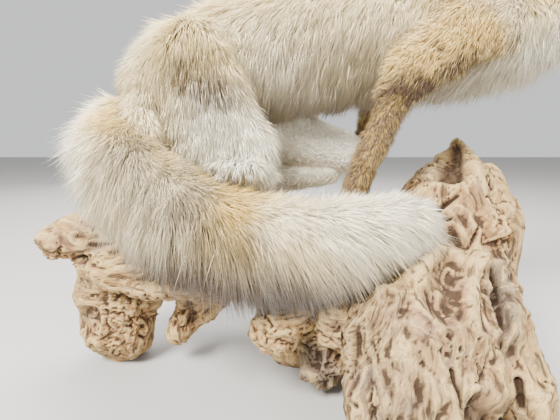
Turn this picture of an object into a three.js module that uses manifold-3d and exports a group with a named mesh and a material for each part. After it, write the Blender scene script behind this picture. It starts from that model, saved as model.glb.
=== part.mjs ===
// A life-size red fox, mounted in a deep crouch on a piece of driftwood root, with its tail wrapped
// round in front of it. Millimetres, +Z up, +X the way the fox faces, -Y its right side.
// The origin is the middle of the flat under the wood's middle foot.
import * as THREE from 'three';
import { mergeVertices } from 'three/addons/utils/BufferGeometryUtils.js';
import Module from 'manifold-3d';

const wasm = await Module();
wasm.setup();

// Driving dimensions of the animal, measured out to the tips of its coat.
const standHeight = 190;      // top of the wood where the feet stand
const rumpEnd = -204;         // rear of the rump
const backHeight = 480;       // top of the loins
const bellyHeight = 300;      // lowest line of the belly, between the legs
const trunkHalfWidth = 70;
const neckHalfWidth = 64;
const headPlace = [400, -12, 457];   // middle of the skull, between the eyes and the ears
const headTurn = -22;         // degrees, towards the right side
const headDroop = 4;          // degrees, nose down
const muzzleReach = 100;      // nose tip in front of the skull's middle
const skullReach = 66;        // back of the skull behind its middle
const skullHalfWidth = 56;
const eyeRadius = 8;
const eyePlace = [22, 20, 13];
const earHeight = 79;
const earHalfWidth = 28;
const earPlace = [-36, 32, 30];
const tailRadius = 63;
const toeCount = 4;
const gap = 0.4;              // clearance left between pieces that touch

// Driving dimensions of the driftwood.
const archHeight = 104;       // underside of the log over the open arch
const blockReach = 284;       // right-hand side of the root block
const peakHeight = 293;       // highest point of the root block
const footDepth = 12;         // feet run this far below the table before they are cut level

const colours = {
  coat: 0xc9b48e,
  paleCoat: 0xd9d2c0,
  warmCoat: 0xb98a52,
  darkCoat: 0x6b4a30,
  nose: 0x1c1816,
  eye: 0x8a5a1e,
  wood: 0xb58f6c,
};

const degree = Math.PI / 180;

// A solid body lofted through stations [x, y, z, half width, height above, depth below the axis].
// Each section is an oval square to the path; the two ends close in rounded caps.
function loft(stations, form, grow = 0) {
  const path = new THREE.CatmullRomCurve3(stations.map((s) => new THREE.Vector3(s[0], s[1], s[2])));
  const girth = stations.map((s) => new THREE.Vector3(s[3], s[4], s[5] ?? s[4]));
  const sizes = new THREE.CatmullRomCurve3(girth, false, 'catmullrom', 0.5);
  const { rings, sides, startCap, endCap, capRings = 2 } = form;
  const { upward = [0, 0, 1], section = oval, settle = stay } = form;
  const frames = [];
  for (let cap = capRings; cap >= 1; cap -= 1) {
    const swing = (cap / (capRings + 1)) * Math.PI / 2;
    frames.push({ at: 0, push: -startCap * Math.sin(swing), scale: Math.cos(swing) });
  }
  for (let ring = 0; ring <= rings; ring += 1) {
    frames.push({ at: ring / rings, push: 0, scale: 1 });
  }
  for (let cap = 1; cap <= capRings; cap += 1) {
    const swing = (cap / (capRings + 1)) * Math.PI / 2;
    frames.push({ at: 1, push: endCap * Math.sin(swing), scale: Math.cos(swing) });
  }
  const points = [];
  for (const frame of frames) {
    const along = path.getTangent(frame.at);
    const side = new THREE.Vector3().crossVectors(along, new THREE.Vector3(...upward)).normalize();
    const above = new THREE.Vector3().crossVectors(side, along);
    const size = sizes.getPoint(frame.at);
    const reach = frame.push + Math.sign(frame.push) * grow;
    const middle = path.getPoint(frame.at).addScaledVector(along, reach);
    for (let corner = 0; corner < sides; corner += 1) {
      const swing = (corner / sides) * 2 * Math.PI;
      const [out, lift] = section(swing, size, grow);
      const point = middle.clone().addScaledVector(side, out * frame.scale);
      points.push(point.addScaledVector(above, lift * frame.scale));
    }
  }
  const tip = path.getPoint(1).addScaledVector(path.getTangent(1), endCap + grow);
  const root = path.getPoint(0).addScaledVector(path.getTangent(0), -startCap - grow);
  const faces = [];
  for (let ring = 0; ring < frames.length - 1; ring += 1) {
    for (let corner = 0; corner < sides; corner += 1) {
      const next = (corner + 1) % sides;
      const a = ring * sides + corner;
      const b = ring * sides + next;
      faces.push([a, a + sides, b], [b, a + sides, b + sides]);
    }
  }
  const lastRing = (frames.length - 1) * sides;
  for (let corner = 0; corner < sides; corner += 1) {
    const next = (corner + 1) % sides;
    faces.push([points.length, corner, next]);
    faces.push([points.length + 1, lastRing + next, lastRing + corner]);
  }
  const corners = [...points, root, tip];
  corners.forEach(settle);
  return solid(corners, faces);
}

// Leaves a point where it is; other forms move every point into the head's frame or weather it.
function stay(point) {
  return point;
}

// An oval section with its own height above and depth below the axis.
function oval(swing, size, grow) {
  const lift = Math.sin(swing) > 0 ? size.y : size.z;
  return [(size.x + grow) * Math.cos(swing), (lift + grow) * Math.sin(swing)];
}

// A flat-topped section, between an oval and a box.
function boxy(swing, size, grow) {
  const [out, lift] = oval(swing, size, grow);
  const swell = 1 / (Math.cos(swing) ** 6 + Math.sin(swing) ** 6) ** (1 / 6);
  return [out * swell, lift * swell];
}

// A crescent section: size.x half width, size.y hollow, size.z wall thickness.
function crescent(swing, size, grow) {
  const across = Math.sin(swing);
  return [(size.x + grow) * Math.cos(swing), (size.z / 2 + grow) * across - size.y * across * across];
}

function solid(points, faces) {
  const mesh = new wasm.Mesh({
    numProp: 3,
    vertProperties: Float32Array.from(points.flatMap((p) => [p.x, p.y, p.z])),
    triVerts: Uint32Array.from(faces.flat()),
  });
  return new wasm.Manifold(mesh);
}

// A ball or egg, stretched along the axes.
function egg(centre, radii, detail, frame = new THREE.Matrix4(), grow = 0) {
  const shape = new THREE.SphereGeometry(1, detail, Math.round(detail * 0.7));
  shape.scale(radii[0] + grow, radii[1] + grow, radii[2] + grow);
  shape.translate(...centre);
  shape.applyMatrix4(frame);
  return fromGeometry(shape);
}

function fromGeometry(shape) {
  shape.deleteAttribute('normal');
  shape.deleteAttribute('uv');
  const merged = mergeVertices(shape, 1e-4);
  const mesh = new wasm.Mesh({
    numProp: 3,
    vertProperties: merged.getAttribute('position').array,
    triVerts: Uint32Array.from(merged.getIndex().array),
  });
  return new wasm.Manifold(mesh);
}

function joined(parts) {
  return parts.reduce((whole, part) => whole.add(part));
}

// The biggest single piece of a body, after its neighbours have been cut from it.
function cut(body, neighbours) {
  let rest = body;
  for (const neighbour of neighbours) {
    rest = rest.subtract(neighbour);
  }
  const pieces = rest.decompose();
  pieces.sort((a, b) => b.volume() - a.volume());
  return pieces[0];
}

const mirrored = (point, side) => [point[0], point[1] * side, point[2]];

// Trunk, from the tail's root over the rump, loins and withers to the front of the chest.
const trunkStations = [
  [rumpEnd + 30, 4, 352, 46, 40, 38],
  [rumpEnd + 62, 2, 366, 60, 60, 62],
  [rumpEnd + 110, 0, 380, 66, 74, 84],
  [-40, 0, 392, trunkHalfWidth, 82, 90],
  [40, 0, 400, trunkHalfWidth - 2, backHeight - 400, 400 - bellyHeight - 6],
  [120, 0, 404, trunkHalfWidth + 2, 80, 84],
  [200, 0, 408, trunkHalfWidth + 6, 84, 90],
  [262, 0, 408, trunkHalfWidth - 2, 72, 80],
  [304, 0, 414, 54, 48, 58],
];
const trunkForm = { rings: 8, sides: 15, startCap: 30, endCap: 30 };
const trunkBody = (grow = 0) => loft(trunkStations, trunkForm, grow);

// Neck with its ruff, rising from the shoulders to the back of the skull.
const neckStations = [
  [262, 0, 412, neckHalfWidth + 6, 60, 66],
  [304, -1, 428, neckHalfWidth + 4, 58, 66],
  [342, -4, 446, neckHalfWidth, 52, 62],
  [372, -8, 456, neckHalfWidth - 6, 42, 54],
];
const neckForm = { rings: 3, sides: 13, startCap: 20, endCap: 16 };
const neckBody = (grow = 0) => loft(neckStations, neckForm, grow);

// Head in its own frame: nose along +X, crown up, then turned and placed on the neck.
const headFrame = new THREE.Matrix4()
  .makeRotationZ(headTurn * degree)
  .multiply(new THREE.Matrix4().makeRotationY(headDroop * degree))
  .setPosition(...headPlace);
const headStations = [
  [-skullReach + 16, 0, -6, 42, 34, 36],
  [-38, 0, -4, skullHalfWidth - 3, 44, 46],
  [-14, 0, -2, skullHalfWidth, 44, 48],
  [8, 0, -2, 46, 38, 40],
  [26, 0, -5, 32, 29, 31],
  [44, 0, -8, 23.5, 20, 24],
  [64, 0, -10, 19, 16, 19],
  [muzzleReach - 18, 0, -11, 15.5, 14, 14.5],
  [muzzleReach - 7, 0, -11, 11.5, 11, 10.5],
];
const inHead = (point) => point.applyMatrix4(headFrame);
const headForm = { rings: 10, sides: 12, startCap: 16, endCap: 5, settle: inHead };
const cheekStations = (side) => [
  [0, 26 * side, -16, 22, 26],
  [-22, 48 * side, -22, 16, 21],
  [-40, 66 * side, -30, 7, 9],
];
const cheekForm = { rings: 2, sides: 7, startCap: 10, endCap: 10, capRings: 1, settle: inHead };
const nosePlace = [muzzleReach - 6, 0, -3];

function headBody(grow = 0) {
  const cheeks = [1, -1].map((side) => loft(cheekStations(side), cheekForm, grow));
  return joined([loft(headStations, headForm, grow), ...cheeks]);
}

function eyeBall(side, grow = 0) {
  return egg(mirrored(eyePlace, side), [eyeRadius, eyeRadius, eyeRadius], 8, headFrame, grow);
}

// Nose pad with its two nostrils sunk in from the front.
function nosePad(grow = 0) {
  const pad = egg(nosePlace, [8, 10, 7.5], 7, headFrame, grow);
  if (grow > 0) {
    return pad;
  }
  const nostril = [nosePlace[0] + 6.5, 4.6, -3.4];
  return cut(pad, [1, -1].map((side) => egg(mirrored(nostril, side), [3.4, 1.9, 2.4], 6, headFrame)));
}

// Pricked ear: a hollow leaf that tapers to a rounded tip, its opening forward and a little outward.
function earLeaf(side) {
  const leaf = [];
  const steps = 7;
  for (let step = 0; step <= steps; step += 1) {
    const height = step / steps;
    const half = earHalfWidth * (1 - height ** 1.9) ** 0.75 + 1.6;
    const lean = 6 * height * height;
    const hollow = (15 - 9 * height) * Math.min(1, half / 12);
    leaf.push([lean, 6 * height * side, height * (earHeight - 2), half, hollow, 6.5 - 3 * height]);
  }
  const opening = 26 * side;
  const splay = -16 * side;
  const frame = new THREE.Matrix4()
    .makeRotationX(splay * degree)
    .multiply(new THREE.Matrix4().makeRotationZ(opening * degree))
    .setPosition(...mirrored(earPlace, side))
    .premultiply(headFrame);
  return loft(leaf, {
    rings: 6,
    sides: 10,
    startCap: 10,
    endCap: 2,
    upward: [1, 0, 0],
    capRings: 1,
    section: crescent,
    settle: (point) => point.applyMatrix4(frame),
  });
}

// Forelegs: the right one is bent so that its forearm slopes back; the left one stands upright.
const foreLegs = {
  right: {
    upper: [
      [238, -46, 424, 36, 50, 46],
      [190, -60, 398, 37, 50, 46],
      [146, -68, 368, 34, 44, 46],
      [112, -70, 344, 27, 32, 34],
    ],
    lower: [
      [118, -69, 334, 22, 24, 24],
      [108, -68, 308, 21, 21, 21],
      [92, -67, 268, 19, 19, 18],
      [80, -66, 232, 18, 18, 17],
      [80, -66, 214, 20, 19, 17],
    ],
    paw: [80, -66, standHeight + 17],
  },
  left: {
    upper: [
      [236, 46, 420, 36, 48, 46],
      [192, 56, 392, 36, 46, 44],
      [150, 61, 356, 32, 38, 40],
      [116, 61, 330, 25, 28, 28],
    ],
    lower: [
      [124, 61, 318, 21, 22, 24],
      [120, 61, 296, 19, 19, 20],
      [112, 61, 262, 18, 17, 17],
      [104, 61, 232, 18, 17, 16],
      [104, 61, 214, 20, 18, 16],
    ],
    paw: [104, 61, standHeight + 17],
  },
};

// Hind legs, folded under the body. The left one is drawn forward past the right knee.
const hindLegs = {
  right: {
    upper: [
      [-112, -44, 384, 44, 74, 66],
      [-84, -60, 350, 42, 68, 84],
      [-58, -67, 312, 38, 56, 80],
      [-36, -70, 280, 34, 42, 64],
      [-33, -70, 254, 29, 36, 48],
    ],
    lower: [
      [-42, -68, 262, 26, 32, 30],
      [-78, -66, 240, 24, 27, 27],
      [-112, -64, 222, 19, 20, 20],
    ],
    paw: [-118, -58, standHeight + 17],
  },
  left: {
    upper: [
      [-88, 36, 374, 44, 66, 62],
      [-40, 44, 334, 42, 56, 58],
      [26, 50, 294, 38, 42, 44],
      [86, 51, 272, 32, 34, 32],
    ],
    lower: [
      [66, 54, 254, 26, 30, 28],
      [4, 56, 237, 23, 25, 25],
      [-50, 57, 222, 19, 20, 20],
    ],
    paw: [-56, 57, standHeight + 17],
  },
};
const upperForm = { rings: 4, sides: 10, startCap: 34, endCap: 24 };
const lowerForm = { rings: 3, sides: 9, startCap: 20, endCap: 12, capRings: 1 };
const forePaw = { length: 46, width: 21 };
const hindPaw = { length: 92, width: 20 };

// A paw flat on the wood: a low pad, four toes fanned at its front and a claw on each toe.
function pawBody(heel, size) {
  const [x, y, z] = heel;
  const sole = z - standHeight;
  const front = x + size.length;
  const parts = [loft([
    [x - 4, y, z, 17, 15, sole],
    [x + size.length * 0.45, y, z - 1, size.width - 2, 13, sole - 1],
    [front, y, z - 4, size.width, 10, sole - 4],
  ], { rings: 2, sides: 8, startCap: 14, endCap: 8, capRings: 1 })];
  for (let toe = 0; toe < toeCount; toe += 1) {
    const spread = toe - (toeCount - 1) / 2;
    const toeX = front + (Math.abs(spread) < 1 ? 6 : -2);
    const toeY = y + spread * 9.6;
    parts.push(egg([toeX, toeY, standHeight + 8.6], [13, 5.8, 8.4], 5));
    parts.push(loft([
      [toeX + 8, toeY, standHeight + 8.5, 1.9, 2.3],
      [toeX + 19, toeY, standHeight + 2.6, 0.6, 0.7],
    ], { rings: 1, sides: 4, startCap: 2, endCap: 0.6, capRings: 0 }));
  }
  return joined(parts);
}

// The room that a paw takes up, with its toes and claws, in the brush and the wood round it.
function pawRoom(heel, size) {
  const [x, y, z] = heel;
  const sole = z - standHeight + gap;
  const front = x + size.length + 27;
  return loft([
    [x - 4, y, z, size.width + 3, 19, sole],
    [front, y, z, size.width + 5, 15, sole],
  ], { rings: 1, sides: 12, startCap: 18, endCap: 6, capRings: 1, section: boxy });
}

// Brush: swings down from the rump on the right side, forward along the wood and up to its tip.
const tailStations = [
  [-186, -22, 328, 40, 40],
  [-192, -52, 296, 52, 52],
  [-170, -82, 258, 59, 60],
  [-128, -98, 224, tailRadius, tailRadius],
  [-78, -108, 198, tailRadius + 1, tailRadius + 2],
  [-22, -112, 184, tailRadius, tailRadius + 2],
  [34, -110, 180, tailRadius - 3, tailRadius],
  [84, -104, 187, 55, 57],
  [124, -97, 197, 45, 46],
  [148, -92, 200, 30, 31],
];
const tailForm = { rings: 9, sides: 11, startCap: 22, endCap: 18 };
const tailBody = (grow = 0) => loft(tailStations, tailForm, grow);
const tailParting = [-118, 10];     // where the brush is divided, along X

// A slab that divides the brush at a plane across X, as wide as the clearance.
function partingSlab(place) {
  const slab = new THREE.BoxGeometry(gap, 400, 500);
  slab.translate(place, -60, 250);
  return fromGeometry(slab);
}

// Driftwood: lobes and roots, each a loft, joined into the one piece of wood.
const woodLobes = {
  log: [
    [-214, -12, 152, 38, 34, 44],
    [-150, -4, 150, 74, 38, 40],
    [-50, 0, 150, 88, standHeight - 149, 150 - archHeight],
    [60, 0, 150, 90, standHeight - 149, 50],
    [150, 0, 150, 84, 46, 60],
  ],
  knob: [
    [-196, -10, 168, 34, 34, 34],
    [-240, -18, 174, 30, 28, 30],
    [-272, -24, 172, 26, 24, 28],
  ],
  leftRoot: [
    [-204, -6, 150, 40, 48, 48],
    [-204, -6, 96, 40, 50, 50],
    [-211, 0, 50, 40, 50, 52],
    [-212, 14, 16, 30, 30, 30],
    [-212, 20, -footDepth, 24, 24, 24],
  ],
  splinter: [
    [-70, -4, 124, 26, 32, 28],
    [-104, -14, 84, 22, 24, 24],
    [-134, -20, 42, 11, 8, 8],
  ],
  middleFoot: [
    [34, 14, 130, 46, 46, 46],
    [28, 6, 70, 34, 34, 34],
    [20, 0, 20, 27, 28, 28],
    [18, 0, -footDepth, 26, 28, 28],
  ],
  backRoot: [
    [20, 40, 140, 46, 46, 46],
    [46, 84, 84, 36, 36, 36],
    [58, 112, 30, 30, 30, 30],
    [60, 118, -footDepth, 27, 27, 27],
  ],
  frontLobeLeft: [
    [24, -30, 138, 34, 40, 34],
    [10, -78, 110, 28, 32, 28],
    [-8, -112, 95, 21, 26, 22],
  ],
  frontLobeRight: [
    [70, -40, 136, 40, 40, 36],
    [62, -84, 108, 34, 34, 26],
    [56, -112, 94, 28, 22, 16],
  ],
  underside: [
    [70, -30, 110, 46, 44, 44],
    [56, -64, 66, 38, 40, 38],
    [46, -84, 40, 26, 26, 26],
  ],
  frontRoot: [
    [152, -30, 170, 42, 56, 56],
    [144, -92, 148, 44, 66, 66],
    [136, -134, 100, 42, 72, 70],
    [132, -160, 50, 38, 74, 72],
    [132, -168, -footDepth, 32, 72, 66],
  ],
  rightRoot: [
    [222, -40, 140, 50, 40, 50],
    [230, -84, 92, 44, 30, 42],
    [246, -106, 40, 40, 31, 34],
    [266, -112, -footDepth, 36, 32, 30],
  ],
  block: [
    [196, -8, -footDepth, 74, 74, 80],
    [200, -10, 60, 76, 78, 84],
    [204, -12, 130, 78, blockReach - 198, 76],
    [208, -14, 190, 72, blockReach - 204, 72],
    [206, -8, 232, 54, 54, 64],
    [196, -4, 250, 34, 30, 52],
  ],
  peak: [
    [214, 0, 226, 36, 34, 34],
    [222, 8, 262, 22, 18, 22],
    [222, 18, peakHeight - 10, 9, 7, 9],
  ],
  shoulder: [
    [236, -24, 178, 50, 40, 40],
    [250, -34, 196, 34, 26, 30],
    [262, -38, 204, 20, 14, 18],
  ],
};
const forward = [1, 0, 0];
const woodForms = {
  log: { rings: 5, sides: 11, startCap: 20, endCap: 30, section: boxy },
  knob: { rings: 3, sides: 9, startCap: 10, endCap: 20 },
  leftRoot: { rings: 4, sides: 9, startCap: 20, upward: forward },
  splinter: { rings: 2, sides: 6, startCap: 10, endCap: 6, upward: forward },
  middleFoot: { rings: 2, sides: 7, startCap: 10, upward: forward },
  backRoot: { rings: 3, sides: 7, startCap: 10, upward: forward },
  frontLobeLeft: { rings: 3, sides: 7, startCap: 10, endCap: 12, upward: forward },
  frontLobeRight: { rings: 3, sides: 8, startCap: 10, endCap: 12, upward: forward },
  underside: { rings: 2, sides: 8, startCap: 10, endCap: 22, upward: forward },
  frontRoot: { rings: 4, sides: 10, startCap: 20, upward: forward },
  rightRoot: { rings: 4, sides: 8, startCap: 20, upward: forward },
  block: { rings: 5, sides: 10, startCap: 4, endCap: 8, upward: forward },
  peak: { rings: 3, sides: 8, startCap: 8, endCap: 6, upward: forward },
  shoulder: { rings: 2, sides: 8, startCap: 10, endCap: 10, upward: forward },
};

// Weathered hollows and splits: [centre], [radii].
const woodHollows = [
  [[186, -62, 262], [22, 30, 26]],
  [[206, -118, 190], [15, 22, 20]],
  [[196, -168, 6], [26, 60, 20]],
  [[-236, -62, 176], [9, 16, 14]],
  [[104, -60, 186], [26, 22, 20]],
];

// Slow swells and knots that every lobe shares, so that the joined wood reads as one weathered piece.
function weather(point) {
  const { x, y, z } = point;
  const swell = Math.sin(x * 0.043 + 1.3) * Math.sin(z * 0.051 + 0.4) * 4.5;
  const knot = Math.sin(x * 0.11 + z * 0.083) * Math.sin(y * 0.097 + 2.1) * 3;
  const free = Math.max(0, Math.min(1, z / 60));
  point.x += knot * free;
  point.y += (swell + knot) * free;
  point.z += Math.sin(x * 0.067 + y * 0.059) * 2.5 * free;
  return point;
}

function woodBody(neighbours) {
  const lobes = Object.keys(woodLobes).map((name) => {
    return loft(woodLobes[name], { endCap: 4, capRings: 1, settle: weather, ...woodForms[name] });
  });
  const ground = new THREE.BoxGeometry(900, 700, 100);
  ground.translate(0, 0, -50);
  const hollows = woodHollows.map(([centre, radii]) => egg(centre, radii, 5));
  return cut(joined(lobes), [...hollows, fromGeometry(ground), ...neighbours]);
}

const finish = {
  coat: (colour) => new THREE.MeshStandardMaterial({ color: colour, roughness: 0.95, metalness: 0 }),
  eye: () => new THREE.MeshStandardMaterial({ color: colours.eye, roughness: 0.08, metalness: 0 }),
  nose: () => new THREE.MeshStandardMaterial({ color: colours.nose, roughness: 0.45, metalness: 0 }),
  wood: () => new THREE.MeshStandardMaterial({ color: colours.wood, roughness: 0.85, metalness: 0 }),
};

const fox = new THREE.Group();

// Puts one closed body into the model as its own named mesh.
function place(name, body, material) {
  const mesh = body.getMesh();
  const shape = new THREE.BufferGeometry();
  shape.setAttribute('position', new THREE.BufferAttribute(mesh.vertProperties.slice(), 3));
  shape.setIndex(new THREE.BufferAttribute(mesh.triVerts.slice(), 1));
  const node = new THREE.Mesh(shape, material);
  node.name = name;
  fox.add(node);
}

// Trunk and what grows from it, each cut back to leave clearance round its neighbours.
const trunkGrown = trunkBody(gap);
const taken = [trunkGrown];
place('trunk', trunkBody(), finish.coat(colours.coat));

const neckGrown = neckBody(gap);
place('neck', cut(neckBody(), taken), finish.coat(colours.coat));

const headGrown = headBody(gap);
const face = [nosePad(gap), ...[1, -1].map((side) => eyeBall(side, gap))];
place('head', cut(headBody(), [trunkGrown, neckGrown, ...face]), finish.coat(colours.coat));
place('nose', nosePad(), finish.nose());
for (const [name, side] of [['left', 1], ['right', -1]]) {
  place(`eye_${name}`, eyeBall(side), finish.eye());
  place(`ear_${name}`, cut(earLeaf(side), [headGrown, neckGrown]), finish.coat(colours.darkCoat));
}
taken.push(neckGrown, headGrown);

// Legs, from the body outward, so that each length meets the one above it.
const rooms = [];
for (const [kind, legs, size] of [['hind', hindLegs, hindPaw], ['fore', foreLegs, forePaw]]) {
  for (const side of ['right', 'left']) {
    const leg = legs[side];
    const tone = kind === 'hind' ? colours.paleCoat : colours.warmCoat;
    const stance = kind === 'hind' ? [0, 0, 1] : [1, 0, 0];
    const shin = { ...lowerForm, upward: stance };
    place(`${kind}leg_${side}_upper`, cut(loft(leg.upper, upperForm), taken), finish.coat(tone));
    taken.push(loft(leg.upper, upperForm, gap));
    place(`${kind}leg_${side}_lower`, cut(loft(leg.lower, shin), taken), finish.coat(tone));
    taken.push(loft(leg.lower, shin, gap));
    place(`${kind}paw_${side}`, cut(pawBody(leg.paw, size), taken), finish.coat(tone));
    rooms.push(pawRoom(leg.paw, size));
  }
}

const brush = cut(tailBody(), [...taken, ...rooms]);
const lengths = brush.subtract(joined(tailParting.map(partingSlab))).decompose();
lengths.sort((a, b) => a.boundingBox().min[0] - b.boundingBox().min[0]);
['tail_base', 'tail_middle', 'tail_tip'].forEach((name, index) => {
  place(name, lengths[index], finish.coat(colours.paleCoat));
});
taken.push(tailBody(gap));

place('driftwood', woodBody([...taken, ...rooms]), finish.wood());

export default fox;
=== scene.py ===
import math

import bmesh
import bpy
import numpy as np
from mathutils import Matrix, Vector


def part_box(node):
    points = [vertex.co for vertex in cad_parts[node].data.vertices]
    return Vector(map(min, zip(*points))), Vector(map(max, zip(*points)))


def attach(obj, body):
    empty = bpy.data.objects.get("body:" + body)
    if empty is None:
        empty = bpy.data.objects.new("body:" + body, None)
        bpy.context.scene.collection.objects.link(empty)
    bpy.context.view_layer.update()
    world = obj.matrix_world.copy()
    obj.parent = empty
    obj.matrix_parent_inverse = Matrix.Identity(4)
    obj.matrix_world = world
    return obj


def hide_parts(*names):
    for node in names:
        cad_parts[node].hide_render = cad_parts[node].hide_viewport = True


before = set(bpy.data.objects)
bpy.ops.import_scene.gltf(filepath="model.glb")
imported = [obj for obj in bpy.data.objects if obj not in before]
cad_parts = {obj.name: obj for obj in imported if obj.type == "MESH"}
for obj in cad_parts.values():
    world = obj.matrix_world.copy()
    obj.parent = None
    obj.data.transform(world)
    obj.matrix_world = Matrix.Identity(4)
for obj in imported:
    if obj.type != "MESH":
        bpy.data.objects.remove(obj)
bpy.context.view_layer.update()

mm = 0.001
standHeight = 190.0          # top of the wood under the feet, mm
draws = np.random.default_rng(61)


studio = {
    "cameraPlace": (0.0, -0.500, 0.290),
    "cameraPitch": 80.0,      # degrees from straight down
    "lens": 26.0,
    "floorHalf": 6.0,
    "floorColour": (0.36, 0.352, 0.34, 1),
    "skyColour": (0.86, 0.87, 0.88, 1),
    "skyStrength": 1.0,
}
softLights = {                # name: place, aims at, size, power, colour
    "keyLight": ((-0.85, -1.4, 1.65), (0.0, 0.0, 0.3), 0.7, 240.0, (1.0, 0.97, 0.92)),
    "fillLight": ((1.5, -1.3, 0.9), (0.1, 0.0, 0.25), 1.6, 54.0, (0.98, 0.985, 1.0)),
    "topLight": ((0.1, 0.4, 2.2), (0.0, 0.0, 0.3), 1.3, 96.0, (1.0, 0.98, 0.95)),
    "backLight": ((-0.4, 1.8, 1.3), (0.0, 0.0, 0.3), 1.6, 42.0, (1.0, 0.98, 0.95)),
}


def setStudio():
    # camera, four soft square lamps, an even sky and a flat floor
    camera = bpy.data.objects.new("camera", bpy.data.cameras.new("camera"))
    bpy.context.scene.collection.objects.link(camera)
    camera.location = studio["cameraPlace"]
    camera.rotation_euler = (math.radians(studio["cameraPitch"]), 0, 0)
    camera.data.lens = studio["lens"]
    camera.data.sensor_width = 36.0
    camera.data.clip_start = 0.01
    bpy.context.scene.camera = camera
    for name, (place, aim, size, power, colour) in softLights.items():
        lamp = bpy.data.lights.new(name, "AREA")
        lamp.size, lamp.energy, lamp.color = size, power, colour
        holder = bpy.data.objects.new(name, lamp)
        bpy.context.scene.collection.objects.link(holder)
        holder.location = place
        gaze = np.array(aim) - np.array(place)
        flat = math.hypot(gaze[0], gaze[1])
        holder.rotation_euler = (math.atan2(flat, -gaze[2]), 0, math.atan2(gaze[1], gaze[0]) - math.pi / 2)
    world = bpy.data.worlds.new("studio")
    world.use_nodes = True
    world.node_tree.nodes["Background"].inputs[0].default_value = studio["skyColour"]
    world.node_tree.nodes["Background"].inputs[1].default_value = studio["skyStrength"]
    bpy.context.scene.world = world
    half = studio["floorHalf"]
    corners = np.array([[-half, -half, 0], [half, -half, 0], [half, half, 0], [-half, half, 0]])
    floor = buildPiece("floor", corners, np.array([[0, 1, 2], [0, 2, 3]]))
    paint = bpy.data.materials.new("floorPaint")
    paint.use_nodes = True
    paint.node_tree.nodes["Principled BSDF"].inputs["Base Color"].default_value = studio["floorColour"]
    paint.node_tree.nodes["Principled BSDF"].inputs["Roughness"].default_value = 0.8
    floor.data.materials.append(paint)


def buildPiece(name, points, triangles, smooth=True):
    # points (n, 3) in metres and triangles (m, 3) become one mesh object at the origin
    mesh = bpy.data.meshes.new(name)
    mesh.vertices.add(len(points))
    mesh.vertices.foreach_set("co", np.ascontiguousarray(points, np.float32).ravel())
    mesh.loops.add(triangles.size)
    mesh.loops.foreach_set("vertex_index", np.ascontiguousarray(triangles, np.int32).ravel())
    mesh.polygons.add(len(triangles))
    mesh.polygons.foreach_set("loop_start", np.arange(0, triangles.size, 3, dtype=np.int32))
    mesh.polygons.foreach_set("use_smooth", np.full(len(triangles), smooth))
    mesh.update(calc_edges=True)
    piece = bpy.data.objects.new(name, mesh)
    bpy.context.scene.collection.objects.link(piece)
    return piece


def joinSurfaces(name, surfaces):
    # several (points, triangles) surfaces in mm as one mesh object
    points, triangles, offset = [], [], 0
    for somePoints, someTriangles in surfaces:
        points.append(somePoints)
        triangles.append(someTriangles + offset)
        offset += len(somePoints)
    return buildPiece(name, np.vstack(points) * mm, np.vstack(triangles))


def readPoints(mesh):
    # vertex places, one row each
    flat = np.empty(len(mesh.vertices) * 3, np.float32)
    mesh.vertices.foreach_get("co", flat)
    return flat.reshape(-1, 3).astype(float)


def readNormals(mesh):
    # vertex normals, one row each
    flat = np.empty(len(mesh.vertices) * 3, np.float32)
    mesh.vertices.foreach_get("normal", flat)
    return flat.reshape(-1, 3).astype(float)


def readEdges(mesh):
    # pairs of vertex numbers
    flat = np.empty(len(mesh.edges) * 2, np.int32)
    mesh.edges.foreach_get("vertices", flat)
    return flat.reshape(-1, 2)


def readTriangles(mesh):
    # triples of vertex numbers
    mesh.calc_loop_triangles()
    flat = np.empty(len(mesh.loop_triangles) * 3, np.int32)
    mesh.loop_triangles.foreach_get("vertices", flat)
    return flat.reshape(-1, 3)


def writePoints(mesh, points):
    # moves the vertices, in metres
    mesh.vertices.foreach_set("co", np.ascontiguousarray(points, np.float32).ravel())
    mesh.update()


def writeColour(mesh, name, values):
    # one RGBA value for each vertex, read by the materials as an attribute
    layer = mesh.color_attributes.new(name, "FLOAT_COLOR", "POINT")
    layer.data.foreach_set("color", np.ascontiguousarray(values, np.float32).ravel())


def unit(vectors):
    # each row divided by its length
    return vectors / np.maximum(np.linalg.norm(vectors, axis=-1, keepdims=True), 1e-9)


def smoothStep(low, high, values):
    # eases from 0 at low to 1 at high: 3 s^2 - 2 s^3
    share = np.clip((values - low) / (high - low), 0, 1)
    return share * share * (3 - 2 * share)


def evenOut(values, edges, rounds, share=0.5):
    # each value moves towards the mean of its neighbours along the edges
    count = len(values)
    degree = np.maximum(np.bincount(edges.ravel(), minlength=count), 1)[:, None]
    for _ in range(rounds):
        total = np.empty_like(values)
        for column in range(values.shape[1]):
            total[:, column] = np.bincount(edges[:, 0], values[edges[:, 1], column], count)
            total[:, column] += np.bincount(edges[:, 1], values[edges[:, 0], column], count)
        values = values * (1 - share) + share * total / degree
    return values


def lattice(cells, salt):
    # a fixed pseudo-random number from 0 to 1 for each whole-number cell
    turn = cells[..., 0] * 127.1 + cells[..., 1] * 311.7 + cells[..., 2] * 74.7 + salt * 53.3
    mixed = np.sin(turn) * 43758.5453
    return mixed - np.floor(mixed)


def valueNoise(points, salt=0):
    # smooth noise from 0 to 1: the eight lattice values round each point, eased together
    cell = np.floor(points)
    share = points - cell
    share = share * share * (3 - 2 * share)
    total = np.zeros(len(points))
    for corner in range(8):
        step = np.array([corner & 1, corner >> 1 & 1, corner >> 2 & 1])
        weight = np.prod(np.where(step, share, 1 - share), axis=1)
        total += weight * lattice(cell + step, salt)
    return total


def layeredNoise(points, layers, salt=0):
    # octaves of noise, each twice as fine and half as strong, from 0 to 1
    total, strength = np.zeros(len(points)), 0.0
    for layer in range(layers):
        total += valueNoise(points * 2 ** layer, salt + layer) * 0.5 ** layer
        strength += 0.5 ** layer
    return total / strength


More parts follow.
